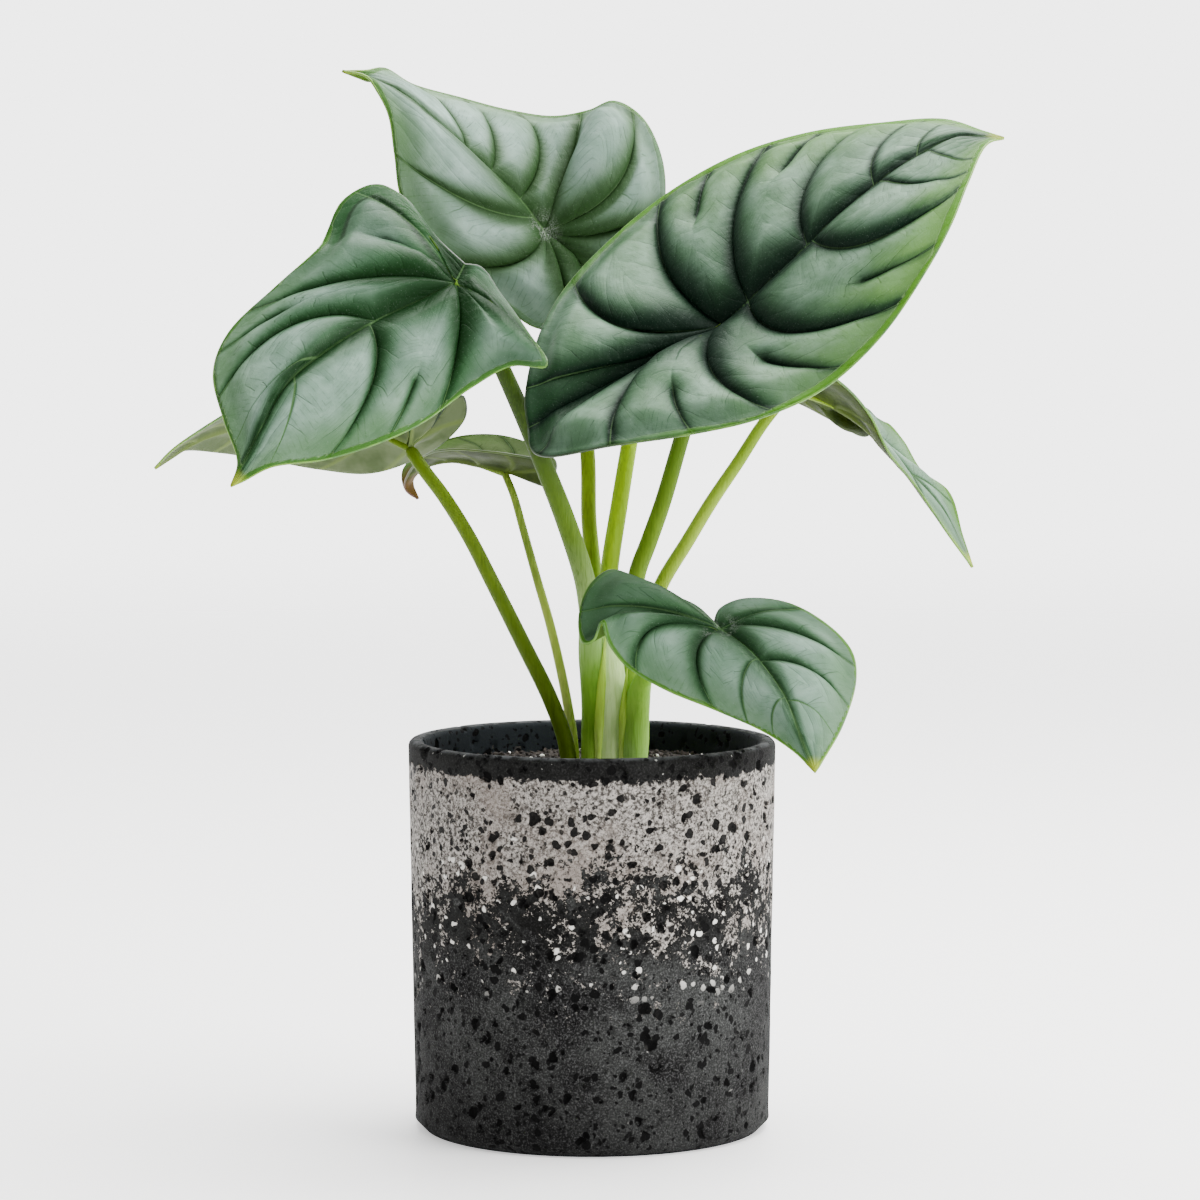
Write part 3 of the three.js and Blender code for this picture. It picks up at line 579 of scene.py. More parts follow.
BLADES["front_left"] = {
    "relief": 3, "camber": 0.05, "banks": (0.55, 1.3), "lobes": (-1, 0.48), "under": "deep",
    "colours": ((116, 140, 126), (82, 108, 90), (28, 62, 28), (8, 34, 8), (46, 86, 20)),
    "skin": (5.6, 1.0, 0.36, 0.42), "coat": 0.06, "shine": 0.04, "green": 0.2, "shade": 0.6,
    "rolled": (0.17, 0.42), "sinus": (-40, -42, 282),
    "midrib": [(-43, -45, 276), (-55, -50, 270), (-68, -57, 264), (-81, -66, 256), (-93, -76, 246),
        (-101, -86, 232), (-110, -94, 215)],
    "left": ([(-35, -40, 281), (-29, -45, 273), (-20, -57, 261), (-14, -66, 251), (-25, -63, 251),
        (-38, -65, 244), (-52, -71, 234), (-65, -78, 228), (-82, -84, 223), (-98, -90, 221),
        (-106, -92, 217)], [(0, 0.29, 0.12), (0, 0.55, 0.22), (0.3, 0.8, 0.3, 0.6),
        (0.6, 0.92, 0.15, 1, 0.2)]),
    "right": ([(-49, -33, 290), (-60, -22, 303), (-69, -18, 307), (-79, -22, 302), (-84, -31, 291),
        (-86, -38, 287), (-99, -46, 275), (-113, -57, 261), (-117, -68, 249), (-113, -80, 235),
        (-108, -90, 222)], [(0, 0.29, 0.15), (0, 0.62, 0.15), (0.28, 0.82, 0.36, 0.62),
        (0.5, 0.92, 0.18, 1, 0.25)]),
}
BLADES["top"] = {
    "relief": 3.2, "seam": 1.6, "camber": 0.05, "banks": (1.1, 0.7), "under": "deep",
    "colours": ((126, 148, 138), (94, 118, 104), (54, 78, 48), (26, 50, 18), (46, 82, 20)),
    "skin": (4.6, 0.8, 0.48, 0.5), "scar": 0.22, "coat": 0.03, "shine": 0.06, "green": 0.3,
    "sinus": (0, 27, 277),
    "midrib": [(-16, 30, 292), (-23, 30, 301), (-33, 28, 311), (-50, 22, 325), (-64, 16, 337),
        (-81, 10, 344)],
    "left": ([(3, 23, 268), (-7, 19, 260), (-19, 18, 261), (-29, 18, 268), (-42, 18, 276), (-55, 16, 291),
        (-62, 14, 303), (-64, 12, 317), (-66, 11, 330), (-70, 10, 338), (-73, 10, 342)], [(0, 0.17, 0.1),
        (0, 0.5, 0.5), (0.06, 0.76, 0.2)]),
    "right": ([(11, 30, 278), (21, 34, 289), (24, 40, 306), (22, 46, 319), (16, 53, 330), (7, 59, 335),
        (-1, 62, 332), (-13, 63, 330), (-28, 60, 332), (-44, 52, 336), (-59, 41, 340), (-68, 24, 345),
        (-74, 13, 344)], [(0, 0.2, 0.3), (0, 0.39, 0.5), (0, 0.49, 0.15), (0.15, 0.6, 0.3), (0.3, 0.7, 0.2),
        (0.42, 0.79, 0.1)]),
}
BLADES["low_front"] = {
    "relief": 2, "camber": 0.05, "turn": 0.07, "banks": (0.55, 1.2), "lobes": (0.02, 0.47),
    "colours": ((120, 144, 130), (90, 118, 98), (44, 74, 44), (20, 44, 22), (58, 100, 20)),
    "skin": (3.6, 0.7, 0.46, 0.35), "scar": 0.2, "coat": 0.03, "shine": 0.04, "green": 0.15, "shade": 0.8,
    "sinus": (39, -33, 168),
    "midrib": [(41, -36, 166), (50, -46, 160), (60, -62, 148), (65, -75, 136), (69, -84, 126)],
    "left": ([(41, -29, 172), (48, -28, 175), (62, -29, 174), (74, -34, 168), (82, -43, 160), (83, -52, 152),
        (78, -68, 139), (71, -81, 129)], [(0, 0.3, 0.1, 1, 0.6), (0, 0.57, 0.2), (0.3, 0.73, 0.3),
        (0.58, 0.86, 0.25, 1, 0.4)]),
    "right": ([(33, -27, 173), (23, -23, 177), (13, -22, 182), (6, -24, 184), (-1, -30, 179), (-4, -37, 169),
        (-2.5, -42.5, 162.5), (0.6, -45, 163.5), (3.2, -46, 169.5), (5.4, -47.4, 163), (11, -49, 156),
        (23, -53, 149), (39, -59, 143), (54, -67, 137), (64, -77, 131)], [(0, 0.1, 0, 1, 0.3),
        (0, 0.22, 0.05, 1, 0.6), (0, 0.345, 0.15, 1, 0.4), (0, 0.47, 0.3), (0, 0.59, 0.65), (0, 0.75, 0.45),
        (0.28, 0.82, 0.3, 1, 0.45), (0.56, 0.88, 0.35, 1, 0.4)]),
}
BLADES["far_left"] = {
    "relief": 1.6, "camber": 0.05, "under": "mauve",
    "colours": ((86, 112, 84), (66, 90, 62), (42, 64, 34), (20, 34, 18), (56, 88, 30)),
    "skin": (3.0, 0.6, 0.6, 0.5), "coat": 0.0, "shine": 0.03, "sinus": (-52, -4, 229),
    "midrib": [(-59, -5, 223), (-73, -4, 229), (-91, -3, 232), (-109, -4, 230), (-125, -6, 226),
        (-141, -10, 216)],
    "left": ([(-49, -12, 237), (-53, -22, 245), (-66, -31, 250), (-81, -36, 251), (-97, -36, 246),
        (-112, -30, 237), (-125, -21, 229), (-135, -14, 222)], [(0, 0.24, 0.1), (0, 0.43, 0.35),
        (0.2, 0.6, 0.35), (0.43, 0.74, 0.35), (0.64, 0.85, 0.3), (0.81, 0.92, 0.2)]),
    "right": ([(-47, -3, 236), (-42, -2, 239), (-41, 0, 233), (-47, 4, 225), (-58, 10, 218), (-73, 18, 213),
        (-90, 24, 214), (-106, 22, 217), (-122, 14, 220), (-134, 2, 221)], [(0, 0.16, 0.1), (0, 0.39, 0.3),
        (0.2, 0.55, 0.35), (0.43, 0.69, 0.35), (0.64, 0.8, 0.3), (0.81, 0.89, 0.2)]),
}
BLADES["small_folded"] = {
    "relief": 1.2, "camber": -0.02, "under": "burnt",
    "colours": ((92, 106, 70), (72, 88, 52), (50, 66, 32), (30, 42, 16), (42, 64, 8)),
    "skin": (2.0, 0.5, 0.7, 0.3), "burn": (74, 54, 20), "coat": 0.0, "shine": 0.02, "sinus": (-20, 9, 212),
    "midrib": [(-28, 12, 214), (-37, 17, 216), (-47, 24, 217), (-56, 31, 214), (-60, 36, 209),
        (-58, 38, 203)],
    "left": ([(-14, 5, 209), (-12, 0, 214), (-17, -3, 218), (-26, -3, 220), (-36, 0, 221), (-46, 8, 221),
        (-54, 17, 219), (-60, 27, 213), (-62, 33, 207)], [(0, 0.2, 0.1), (0, 0.35, 0.3), (0.21, 0.55, 0.35),
        (0.47, 0.72, 0.3), (0.64, 0.86, 0.2)]),
    "right": ([(-14, 16, 211), (-12, 24, 216), (-17, 29, 220), (-29, 34, 224), (-42, 38, 224), (-52, 42, 221),
        (-59, 43, 217), (-63, 42, 212), (-62, 40, 206)], [(0, 0.25, 0.1), (0, 0.46, 0.3), (0.21, 0.63, 0.35),
        (0.47, 0.78, 0.3), (0.64, 0.86, 0.2)]),
}
BLADES["far_right"] = {
    "relief": 1.4, "camber": -0.02, "under": "olive",
    "colours": ((104, 130, 112), (84, 108, 88), (38, 68, 38), (20, 42, 22), (60, 96, 20)),
    "skin": (2.8, 0.5, 0.5, 0.5), "coat": 0.05, "shine": 0.05, "sinus": (59, 16, 243),
    "midrib": [(65, 22, 241), (79, 32, 235), (91, 40, 227), (103, 46, 214), (116, 46, 200), (127, 42, 180)],
    "left": ([(61, 24, 238), (69, 34, 235), (82, 48, 228), (92, 60, 223), (99, 68, 227), (105, 70, 221),
        (111, 65, 211), (120, 59, 204), (124, 50, 190)], [(0, 0.11, 0.1), (0, 0.33, 0.3), (0.21, 0.54, 0.35),
        (0.39, 0.69, 0.3), (0.61, 0.82, 0.2)]),
    "right": ([(58, 10, 247), (63, 4, 251), (71, 2, 249), (82, 9, 242), (91, 19, 232), (98, 26, 219),
        (107, 32, 208), (118, 36, 192)], [(0, 0.1, 0.1), (0, 0.31, 0.3), (0.21, 0.52, 0.35),
        (0.39, 0.67, 0.3), (0.61, 0.82, 0.2)]),
}
BLADES["back"] = {
    "relief": 1.8, "camber": 0.05,
    "colours": ((120, 150, 126), (92, 122, 98), (36, 74, 34), (12, 38, 18), (56, 104, 14)),
    "skin": (4.5, 0.7, 0.46), "sinus": (20, 38, 277),
    "midrib": [(25, 48, 280), (33, 62, 280), (42, 80, 276), (50, 100, 268), (57, 120, 252)],
    "left": ([(13, 36, 273), (11, 42, 266), (16, 56, 258), (28, 76, 254), (41, 100, 251), (51, 113, 250)],
        [(0, 0.12, 0.1), (0, 0.41, 0.3), (0.2, 0.65, 0.35), (0.49, 0.83, 0.3), (0.75, 0.93, 0.2)]),
    "right": ([(21, 40, 285), (29, 44, 292), (43, 56, 296), (58, 74, 292), (70, 94, 280), (70, 109, 266),
        (62, 118, 254)], [(0, 0.13, 0.1), (0, 0.35, 0.3), (0.2, 0.6, 0.35), (0.49, 0.79, 0.3),
        (0.75, 0.92, 0.2)]),
}
BLADE_THICKNESS, CURVED_FROM, FULL_CELL, CELL_ROUND = 0.8, 0.12, 18.0, 0.55
RISE, RISE_ROUND, HEM, HEM_SLOPE = 0.16, 0.7, 3.0, 7.0
PARTED, PARTED_OVER, TIP_CALM, QUILTING = 0.75, 0.2, 75.0, 1.2
RIB_DEPTH, RIB_REACH, VEIN_DEPTH, VEIN_REACH = 1.0, 1.5, 0.45, 0.9
# BANKS: the reach of the dark vein band on the tip side and the base side of a vein; the wider side holds
# painted shade.
LEAN, BANKS, PARTED_BANK, LOBE_FADE = 0.75, (1.0, 0.7), 0.6, 0.1
STALK_SEAT, SPINE_SEAT, SPINE_SHARE = 1.2, 1.0, 0.2
QUILT_CELL, QUILT_HALF, THREAD_STEP, HAIR_STEP = 14, 500, 9.5, 2.3
MAIN_BLADES = ("front_right", "front_left", "top", "low_front")


def smooth(share):
    share = np.clip(share, 0, 1)
    return share * share * (3 - 2 * share)


def arch(share, first=1.0, last=1.0):
    """The swell across a cell between two veins, which cut in as deep as they are strong."""
    dip = first * (1 - share) ** 3 + last * share**3
    return np.maximum((1 - dip) / 0.75, 0) ** CELL_ROUND


def unit(vectors):
    return vectors / np.maximum(np.linalg.norm(vectors, axis=-1, keepdims=True), 1e-9)


def distance_to(points, others):
    """The distance from each point to the nearest of the others."""
    flat = points.reshape(-1, 3)
    blocks = np.array_split(flat, len(flat) // 2000 + 1)
    nearest = [np.linalg.norm(block[:, None] - others, axis=2).min(1) for block in blocks]
    return np.hstack(nearest).reshape(points.shape[:-1])


def half_blade(leaf, side, columns, rows):
    """Half of a blade as a grid of points, and what the skin needs to know at each of them."""
    midrib = Line(leaf["midrib"])
    outline, veins = leaf["right" if side > 0 else "left"]
    margin = Line([leaf["sinus"], *outline, leaf["midrib"][-1]])
    full = [(*vein, 1, 1)[:5] for vein in veins]
    stations = np.array([(0, 0, 0, 1, leaf.get("seam", 1)), *full, (1, 1, 0, 1, 1)], float)
    cells = len(stations) - 1
    step = np.arange(columns) / columns
    clustered = step - 0.55 * np.sin(4 * math.pi * step) / (4 * math.pi)
    place = np.append((np.arange(cells)[:, None] + clustered).ravel(), cells)
    cell = np.minimum(place.astype(int), cells - 1)
    share = place - cell
    root, at, sweep, _, _ = lerp(stations[cell].T, stations[cell + 1].T, share)
    u = np.linspace(0, 1, rows + 1) ** 1.2

    start, end, along = midrib.at(root), margin.at(at), margin.heading(at, leaf.get("turn", 0.004))
    span = end - start
    up = unit(np.cross(span, along)) * side
    shown = (smooth(at / CURVED_FROM) * np.linalg.norm(span, axis=1))[:, None]
    control = (start + end) / 2 - along * sweep[:, None] * shown + up * 2 * leaf["camber"] * shown
    t = u[None, :, None]
    flat = (1 - t) ** 2 * start[:, None] + 2 * t * (1 - t) * control[:, None] + t**2 * end[:, None]

    before, after = flat[cell * columns], flat[(cell + 1) * columns]
    centre = flat[cell * columns + columns // 2]
    width = np.linalg.norm(after - before, axis=2)
    rise = np.minimum(1, u / RISE) ** RISE_ROUND
    edge = distance_to(flat, margin.points[::8])
    fall = smooth((edge - HEM) / HEM_SLOPE)
    height = QUILTING * leaf["relief"] * np.minimum(1, width / FULL_CELL) * rise * fall
    split = stations[cell + 1, 3][:, None]
    parting = np.where(split < 1, smooth((u - split) / PARTED_OVER + 0.5), 0)
    force = np.minimum(stations[:, 4], 1)
    whole = arch(share**LEAN, force[cell], force[cell + 1])[:, None]
    halves = PARTED * arch((2 * share) % 1)[:, None]
    across, outward = np.gradient(flat, axis=0), np.gradient(flat, axis=1)
    lift = unit(np.cross(outward, across)) * side
    calm = 0.25 + 0.75 * smooth(np.linalg.norm(flat - midrib.points[-1], axis=2) / TIP_CALM)
    points = flat + lift * (height * calm * lerp(whole, halves, parting))[:, :, None]

    marked = np.vstack([flat[k * columns] for k in range(cells)])
    parted = [flat[k * columns + columns // 2][u > stations[k + 1, 3]] for k in range(cells)]
    bank = np.full(flat.shape[:2], 1000.0)
    # The bands reach further on one side of each vein than the other: painted shade on the flank turned from
    # the light.
    tipward, baseward = leaf.get("banks", BANKS)
    for k in range(cells):
        own = slice(k * columns, (k + 1) * columns + 1)
        lines = [(flat[k * columns], tipward * stations[k, 4])]
        lines.append((flat[(k + 1) * columns], baseward * stations[k + 1, 4]))
        if stations[k + 1, 3] < 1:
            lines.append((flat[k * columns + columns // 2][u > stations[k + 1, 3] + 0.05], PARTED_BANK))
        for line, reach in lines:
            bank[own] = np.minimum(bank[own], distance_to(flat[own], line) / reach)
    # How far from the sinus the painted shade over a lobe reaches
    lobe = leaf.get("lobes", (-1, -1))[1 if side > 0 else 0] - LOBE_FADE
    run = np.append(0, np.cumsum(np.linalg.norm(np.diff(flat, axis=1), axis=2).mean(0)))
    facts = {
        "bank": bank,
        "vein": distance_to(flat, np.vstack([marked, *parted])),
        "middle": distance_to(flat, midrib.points[::4]),
        "edge": edge,
        "node": np.linalg.norm(flat - midrib.points[0], axis=2),
        "tip": np.linalg.norm(flat - midrib.points[-1], axis=2),
        "outward": u,
        "along": at[:, None],
        "lobe": 1 - smooth((at[:, None] - lobe) / LOBE_FADE - 0.5),
    }
    aside = place[:, None] * QUILT_CELL + (QUILT_HALF if side > 0 else 0)
    quilt = np.stack(np.broadcast_arrays(run[None], aside), -1)
    return points, facts, quilt, root


def blade_mesh(name, leaf, columns, rows):
    """A blade as a closed mesh: skin above, skin below with its ribs, and a rim. Also gives the way
    up at the node, and the two margins."""
    points, facts, quilts, quads, margins, seams = [], {}, [], [], [], []
    count = 0
    for side in (1, -1):
        grid, known, quilt, root = half_blade(leaf, side, columns, rows)
        index = count + np.arange(grid.shape[0] * grid.shape[1]).reshape(grid.shape[:2])
        seams.append((root, index[:, 0], quilt[:, 0]))
        p, q, s, t = index[:-1, :-1], index[:-1, 1:], index[1:, 1:], index[1:, :-1]
        ring = (p, q, s, t) if side > 0 else (p, t, s, q)
        quads.append(np.stack(ring, -1).reshape(-1, 4))
        points.append(grid.reshape(-1, 3))
        quilts.append(quilt.reshape(-1, 2))
        for key, values in known.items():
            facts.setdefault(key, []).append(np.broadcast_to(values, index.shape).ravel())
        margins.append(grid[:, -1])
        count += index.size
    points, quilts, quads = np.vstack(points), np.vstack(quilts), np.vstack(quads)
    _, kept, welded = np.unique(np.round(points, 3), axis=0, return_index=True, return_inverse=True)
    welded = welded.ravel()
    # The halves are joined along the midrib: each takes the other's points there into its own faces
    taken = {}
    for (root, row, quilt), (roots, others, _) in (seams, seams[::-1]):
        for k in range(len(root) - 1):
            for m in np.flatnonzero((roots > root[k] + 1e-6) & (roots < root[k + 1] - 1e-6)):
                between = lerp(quilt[k], quilt[k + 1], (roots[m] - root[k]) / (root[k + 1] - root[k]))
                taken.setdefault(row[k], []).append((others[m], between))
    faces, corners = [], []
    for quad in quads:
        more = taken.get(quad[0], [])
        loop = [(k, quilts[k]) for k in quad]
        loop = [*loop, *more[::-1]] if quad[0] < seams[1][1][0] else [loop[0], *more, *loop[1:]]
        own = [int(welded[k]) for k, _ in loop]
        ring = [k for k in range(len(own)) if own[k] != own[k - 1]]
        if len(ring) > 2 and len({own[k] for k in ring}) == len(ring):
            faces.append([own[k] for k in ring])
            corners.append([loop[k][1] for k in ring])
    points = points[kept]
    facts = {key: np.hstack(values)[kept] for key, values in facts.items()}

    sheet = bpy.data.meshes.new(name + "_sheet")
    sheet.from_pydata(points, [], faces)
    normals = np.empty(len(points) * 3)
    sheet.vertex_normals.foreach_get("vector", normals)
    normals = normals.reshape(-1, 3)
    bpy.data.meshes.remove(sheet)

    taper = smooth(facts["tip"] / 30) * 0.8 + 0.2
    ribs = RIB_DEPTH * np.exp(-(facts["middle"] / RIB_REACH) ** 2) * taper
    small_ribs = VEIN_DEPTH * np.exp(-(facts["vein"] / VEIN_REACH) ** 2) * smooth(facts["edge"] / 12)
    above = points + normals * BLADE_THICKNESS / 2
    below = points - normals * (BLADE_THICKNESS / 2 + np.maximum(ribs, small_ribs))[:, None]
    total = len(points)
    ways = {(ring[k - 1], ring[k]) for ring in faces for k in range(len(ring))}
    rim = [(a + total, b + total, b, a) for a, b in sorted(ways) if (b, a) not in ways]
    under = [[k + total for k in reversed(ring)] for ring in faces]
    mesh = bpy.data.meshes.new(name)
    mesh.from_pydata(np.vstack([above, below]) * MM, [], [*faces, *under, *rim])
    for key, values in facts.items():
        mesh.attributes.new(key, "FLOAT", "POINT").data.foreach_set("value", np.tile(values, 2))
    order = [*corners, *(ring[::-1] for ring in corners)]
    place = np.vstack([place for ring in order for place in ring] + [np.zeros((4 * len(rim), 2))])
    mesh.uv_layers.new(name="quilt").data.foreach_set("uv", place.ravel())
    shade_smooth(mesh)
    side_of = np.repeat([0, 1, 0], [len(faces), len(under), len(rim)])
    mesh.polygons.foreach_set("material_index", side_of)
    node = np.linalg.norm(points - np.array(leaf["midrib"][0]), axis=1).argmin()
    return mesh, normals[node], margins


def leaf_skin(name, leaf):
    """The upper skin: silver fields, dark bands along the sunken veins, which are their own dark green
    widened on one side by painted shade, and a green hem.
    """
    material, n = finish(name)
    silver, dull, halo, deep, hem = leaf["colours"]
    band, depth, gloss, hem_width = (*leaf["skin"], 1.0)[:4]
    point = n.place()
    bank, vein, middle, edge, node, tip, outward, along_edge, lobe = (
        n.fact(key) for key in (
            "bank", "vein", "middle", "edge", "node", "tip", "outward", "along", "lobe"))
    quilt = n.add("ShaderNodeUVMap", {"uv_map": "quilt"})
    cloud = n.noise(point, 70.0, 3.0, 0.55)
    patch = n.noise(point, 260.0, 4.0, 0.6)
    grain = n.noise(point, 2600.0, 2.0, 0.6)
    wander = (patch - 0.5) * 2.0 + (cloud - 0.5) * 3.0
    # Threads and hairs: thin cross veins that run from each vein outwards to the middle of its cell
    along, across = n.part(quilt, "X"), n.part(quilt, "Y")
    bed = (across / (QUILT_CELL / 2)).maths("FLOOR", across / (QUILT_CELL / 2)) * 0.37
    phase = (along - vein * 1.1 + (cloud - 0.5) * 4) / THREAD_STEP + bed
    phase = phase.maths("FRACT", phase) - 0.5
    thread = (phase.size() * THREAD_STEP).fall(0.04, 0.26) * cloud.climb(0.3, 0.55)
    thread = thread * edge.climb(4.0, 8.0) * vein.fall(4.0, 8.0)
    hair = (along - vein * 1.5 + (cloud - 0.5) * 3) / HAIR_STEP + bed
    hair = ((hair.maths("FRACT", hair) - 0.5).size() * HAIR_STEP).fall(0.03, 0.3) * patch.climb(0.4, 0.6)
    heart = (node + wander * 3).fall(6.0, 45.0)
    slim = tip.climb(5.0, 100.0) * 0.75 + 0.25
    reach = (bank.least(middle * 0.8) + wander * 0.5) / ((heart * 0.9 + 1.25 - outward * 0.85) * slim)
    leafy = (outward + wander * 0.03).climb(0.45, 1.0) * (along_edge + wander * 0.02).climb(0.3, 0.8)
    body = n.layers(
        n.mix(cloud.climb(0.3, 0.7), silver, dull),
        (patch.climb(0.4, 0.7) * 0.5, dull),
        # Painted shade over the lobes by the sinus
        (lobe * leaf.get("shade", 0.0), n.mix(0.35, halo, deep)),
        (thread * 0.6, deep),
        (hair * 0.3, deep),
        ((edge + wander).fall(3.0, 13.0) * 0.5, halo),
        (leafy * leaf.get("green", 0.4), (84, 124, 48)),
        # Dark bands along the veins and the midrib: their own dark green, broadened on one side by painted
        # shade
        (reach.fall(band * 0.25, band * 1.9) * 0.9, halo),
        (reach.fall(band * 0.08, band * 0.9) * 0.94, deep))
    crest = reach.climb(band * 0.15, band * 0.8) + patch.climb(0.55, 0.7) * 0.6
    # A rolled margin drawn in colour only: the turned-over strip in a darker green, and painted shade along
    # its fold.
    if "rolled" in leaf:
        start, stop = leaf["rolled"]
        where = along_edge.climb(start, start + 0.03) * along_edge.fall(stop, stop + 0.03)
        where = where * across.climb(QUILT_HALF * 0.6, QUILT_HALF * 0.8)
        turned_over = (edge + wander * 0.3).fall(4.5, 6.5) * where
        fold_shade = (edge + wander * 0.3 - 6.2).size().fall(0.2, 1.6) * where
        body = n.layers(body, (turned_over * 0.8, halo), (fold_shade * 0.85, deep))
        crest = crest * (1 - turned_over)
    brim = n.noise(point, 25.0, 1.0).climb(0.35, 0.65) * 2.0 + (patch - 0.5)
    hemmed = along_edge.climb(0.1, 0.45)
    line = (edge / hem_width - brim - 1.9).size().fall(0.08, 0.35) * hemmed
    body = n.layers(
        body,
        (vein.fall(0.1, 0.35).most(middle.fall(0.25, 0.8)) * 0.35, (90, 125, 75)),
        ((edge / hem_width - brim).fall(0.9, 2.3) * hemmed * 0.9, hem),
        (line * 0.3, (120, 150, 95)),
        (tip.fall(1.5, 7.0), (135, 150, 40)))
    if "burn" in leaf:
        body = n.mix((tip + wander * 2).fall(7.0, 13.0), body, leaf["burn"])
    if "scar" in leaf:
        frost = patch.climb(0.46, 0.6) * grain.climb(0.4, 0.6) * (node + wander * 3).fall(1.0, 9.0)
        body = n.mix(frost * leaf["scar"], body, (210, 214, 208))
    body = n.mix(grain.climb(0.6, 0.8) * 0.10, body, (190, 210, 195))
    folds = n.add("ShaderNodeMapping", {}, {"Vector": quilt, "Scale": (0.55, 0.12, 1.0)})
    wrinkle = n.noise(folds, 1.2, 2.0, 0.5)
    near = reach.fall(band * 0.4, band * 1.7)
    swell = 1 - phase.size() * 2
    relief = (wrinkle - 0.5) * (near * 0.00028 + 0.00006) + (patch - 0.5) * 0.0003
    relief = (relief - swell * swell * 0.00022 - thread * 0.00006) * depth
    relief = relief - line * 0.0002 + (grain - 0.5) * 0.00003 - hair * near * 0.00005
    varying = {"Base Color": body, "Roughness": gloss + patch * 0.16}
    varying["Coat Weight"] = crest * leaf.get("coat", 0.14)
    n.surface({"Specular IOR Level": leaf.get("shine", 0.1), "Coat Roughness": 0.24}, varying, relief)
    return material


def leaf_underside(name, ground, other, rib, burn=None):
    """The lower skin: dull and pale, with lighter ribs."""
    material, n = finish(name)
    point = n.place()
    vein, middle, tip = (n.fact(key) for key in ("vein", "middle", "tip"))
    cloud = n.noise(point, 80.0, 3.0, 0.6)
    grain = n.noise(point, 1800.0, 2.0, 0.6)
    body = n.mix(cloud.climb(0.35, 0.65), ground, other)
    ribbed = vein.fall(0.3, 1.4).most(middle.fall(0.6, 2.2))
    body = n.mix(ribbed * 0.8, body, rib)
    if burn:
        body = n.mix((tip + cloud * 6).fall(11.0, 17.0), body, burn)
    varying = {"Base Color": body, "Roughness": 0.5 + cloud * 0.15}
    n.surface({"Specular IOR Level": 0.06}, varying, (grain - 0.5) * 0.00008)
    return material


UNDERSIDES = {
    "green": ((76, 106, 32), (64, 92, 26), (104, 136, 44)),
    "deep": ((50, 80, 14), (40, 66, 10), (76, 108, 26)),
    "mauve": ((86, 98, 68), (66, 80, 48), (92, 108, 58)),
    "olive": ((44, 58, 8), (28, 42, 4), (58, 74, 14)),
    "burnt": ((44, 58, 10), (30, 42, 6), (58, 74, 16), (84, 62, 14)),
}
undersides = {name: leaf_underside("underside_" + name, *look) for name, look in UNDERSIDES.items()}


def bead_flesh(name, low, high, end):
    """The bead of a margin: dark near the sinus, green along the blade, another colour at the tip."""
    material, n = finish(name)
    waver = n.noise(n.place(), 160.0, 3.0)
    share = n.fact("share") + (waver - 0.5) * 0.2
    colour = n.mix(waver.climb(0.35, 0.65), low, high)
    colour = n.mix(share.fall(0.12, 0.42), colour, (20, 44, 10))
    colour = n.mix(share.climb(0.78, 0.96), colour, end)
    n.surface({}, {"Base Color": colour, "Roughness": 0.4 + waver * 0.1})
    return material


green_bead = bead_flesh("margin_bead", (46, 92, 14), (80, 124, 24), (96, 134, 26))
burnt_bead = bead_flesh("margin_bead_burnt", (46, 66, 10), (64, 84, 16), (84, 48, 22))
BEAD_STEP, BEAD_RADIUS, BEAD_SIDES = 0.8, 0.42, 8

for name, leaf in BLADES.items():
    columns, rows = (20, 48) if name in MAIN_BLADES else (12, 30)
    mesh, up, margins = blade_mesh("leaf_" + name, leaf, columns, rows)
    blade = put("leaf_" + name, mesh)
    mesh.materials.append(leaf_skin("skin_" + name, leaf))
    mesh.materials.append(undersides[leaf.get("under", "green")])
    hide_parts("blade_" + name)
    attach(blade, "root")

    node = np.array(leaf["midrib"][0])
    midrib = Line(leaf["midrib"]).at(np.linspace(0, SPINE_SHARE, 16))
    behind_node = lerp(node, np.array(leaf["sinus"]), 0.1)
    place_stalk(name, node - STALK_SEAT * up, np.vstack([behind_node, midrib]) - SPINE_SEAT * up)

    beads = []
    for margin in margins:
        line = Line(margin)
        shares = np.linspace(0, 1, round(line.length / BEAD_STEP))
        beads.append((line.at(shares) * MM, BEAD_RADIUS * MM * np.minimum(1, (1 - shares) * 25 + 0.35)))
    bead = bar("leaf_" + name + "_rim", beads, burnt_bead if "burn" in leaf else green_bead, BEAD_SIDES)
    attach(bead, "root")
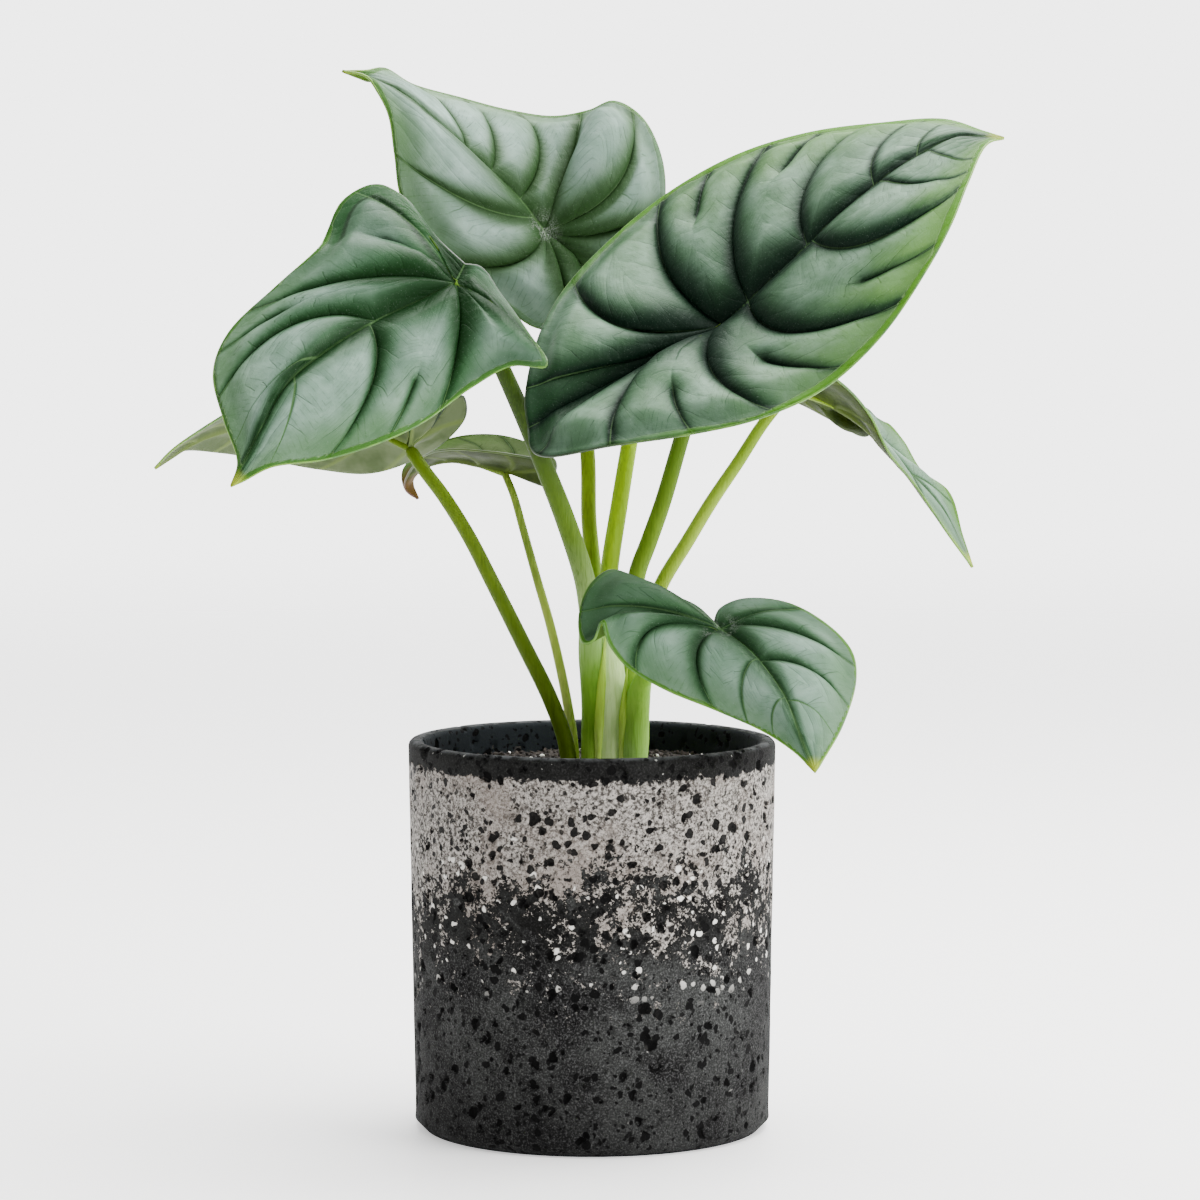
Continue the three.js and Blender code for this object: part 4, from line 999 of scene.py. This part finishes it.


# The room. A plain pale floor, even light from a bright room, one large soft light from above and
# behind on the right, and a weaker one from the right, in front. The camera stands at the photograph's place.
FLOOR_SIZE, FLOOR_CLEAR, FLOOR_GONE = 8.0, 0.4, 2.8
corners = [(x * FLOOR_SIZE, y * FLOOR_SIZE, 0) for x, y in ((-1, -1), (1, -1), (1, 1), (-1, 1))]
floor = mesh_piece("pale_floor", corners, [(0, 1, 2, 3)])
pale, n = finish("pale_floor_paint")
haze = n.noise(n.place(), 3.0, 2.0)
away = n.vector("LENGTH", {0: n.place()})
varying = {"Base Color": n.mix(haze, (244, 243, 242), (248, 247, 246)), "Roughness": 0.45 + haze * 0.1}
varying["Alpha"] = away.fall(FLOOR_CLEAR, FLOOR_GONE)
n.surface({"Emission Color": (255, 255, 255), "Emission Strength": 0.5}, varying)
floor.data.materials.append(pale)

LEFT_LIGHT, RIGHT_LIGHT, BACK_LIGHT, TOP_LIGHT = 0.2, 0.8, 4.2, 0.95
world = bpy.data.worlds.new("bright_room")
world.use_nodes = True
n = Network(world.node_tree)
way = n.part(n.add("ShaderNodeTexCoord", output="Generated"), "X")
behind, above = way.output("Y").climb(-0.35, 0.75), way.output("Z").climb(0.12, 0.55)
front = way.climb(-0.9, 0.9) * (RIGHT_LIGHT - LEFT_LIGHT) + LEFT_LIGHT
glow = (behind * (BACK_LIGHT - front) + front) * (1 - above) + above * TOP_LIGHT
sky = n.add("ShaderNodeBackground", {}, {"Color": (255, 255, 255), "Strength": glow})
n.tree.links.new(sky.socket, n.tree.nodes.new("ShaderNodeOutputWorld").inputs["Surface"])
bpy.context.scene.world = world

for name, energy, size, place in (
    ("window_light", 95.0, 1.5, (0.35, 0.4, 1.5)),
    ("side_fill", 36.0, 1.0, (1.3, -0.6, 0.75)),
):
    lamp = bpy.data.lights.new(name, "AREA")
    lamp.energy, lamp.size = energy, size
    holder = put(name, lamp)
    holder.location = place
    x, y, z = -np.array(place) + (0, 0, 0.25)
    holder.rotation_euler = (math.atan2(math.hypot(x, y), -z), 0, math.atan2(-x, y))

CAMERA_PLACE, CAMERA_PITCH, CAMERA_LENS = (0.0026, -1.56, 0.303), 4.78, 144.4
camera = bpy.data.cameras.new("camera")
camera.lens, camera.sensor_width = CAMERA_LENS, 36.0
eye = put("camera", camera)
eye.location = CAMERA_PLACE
eye.rotation_euler = (math.radians(90 - CAMERA_PITCH), 0, 0)
bpy.context.scene.camera = eye
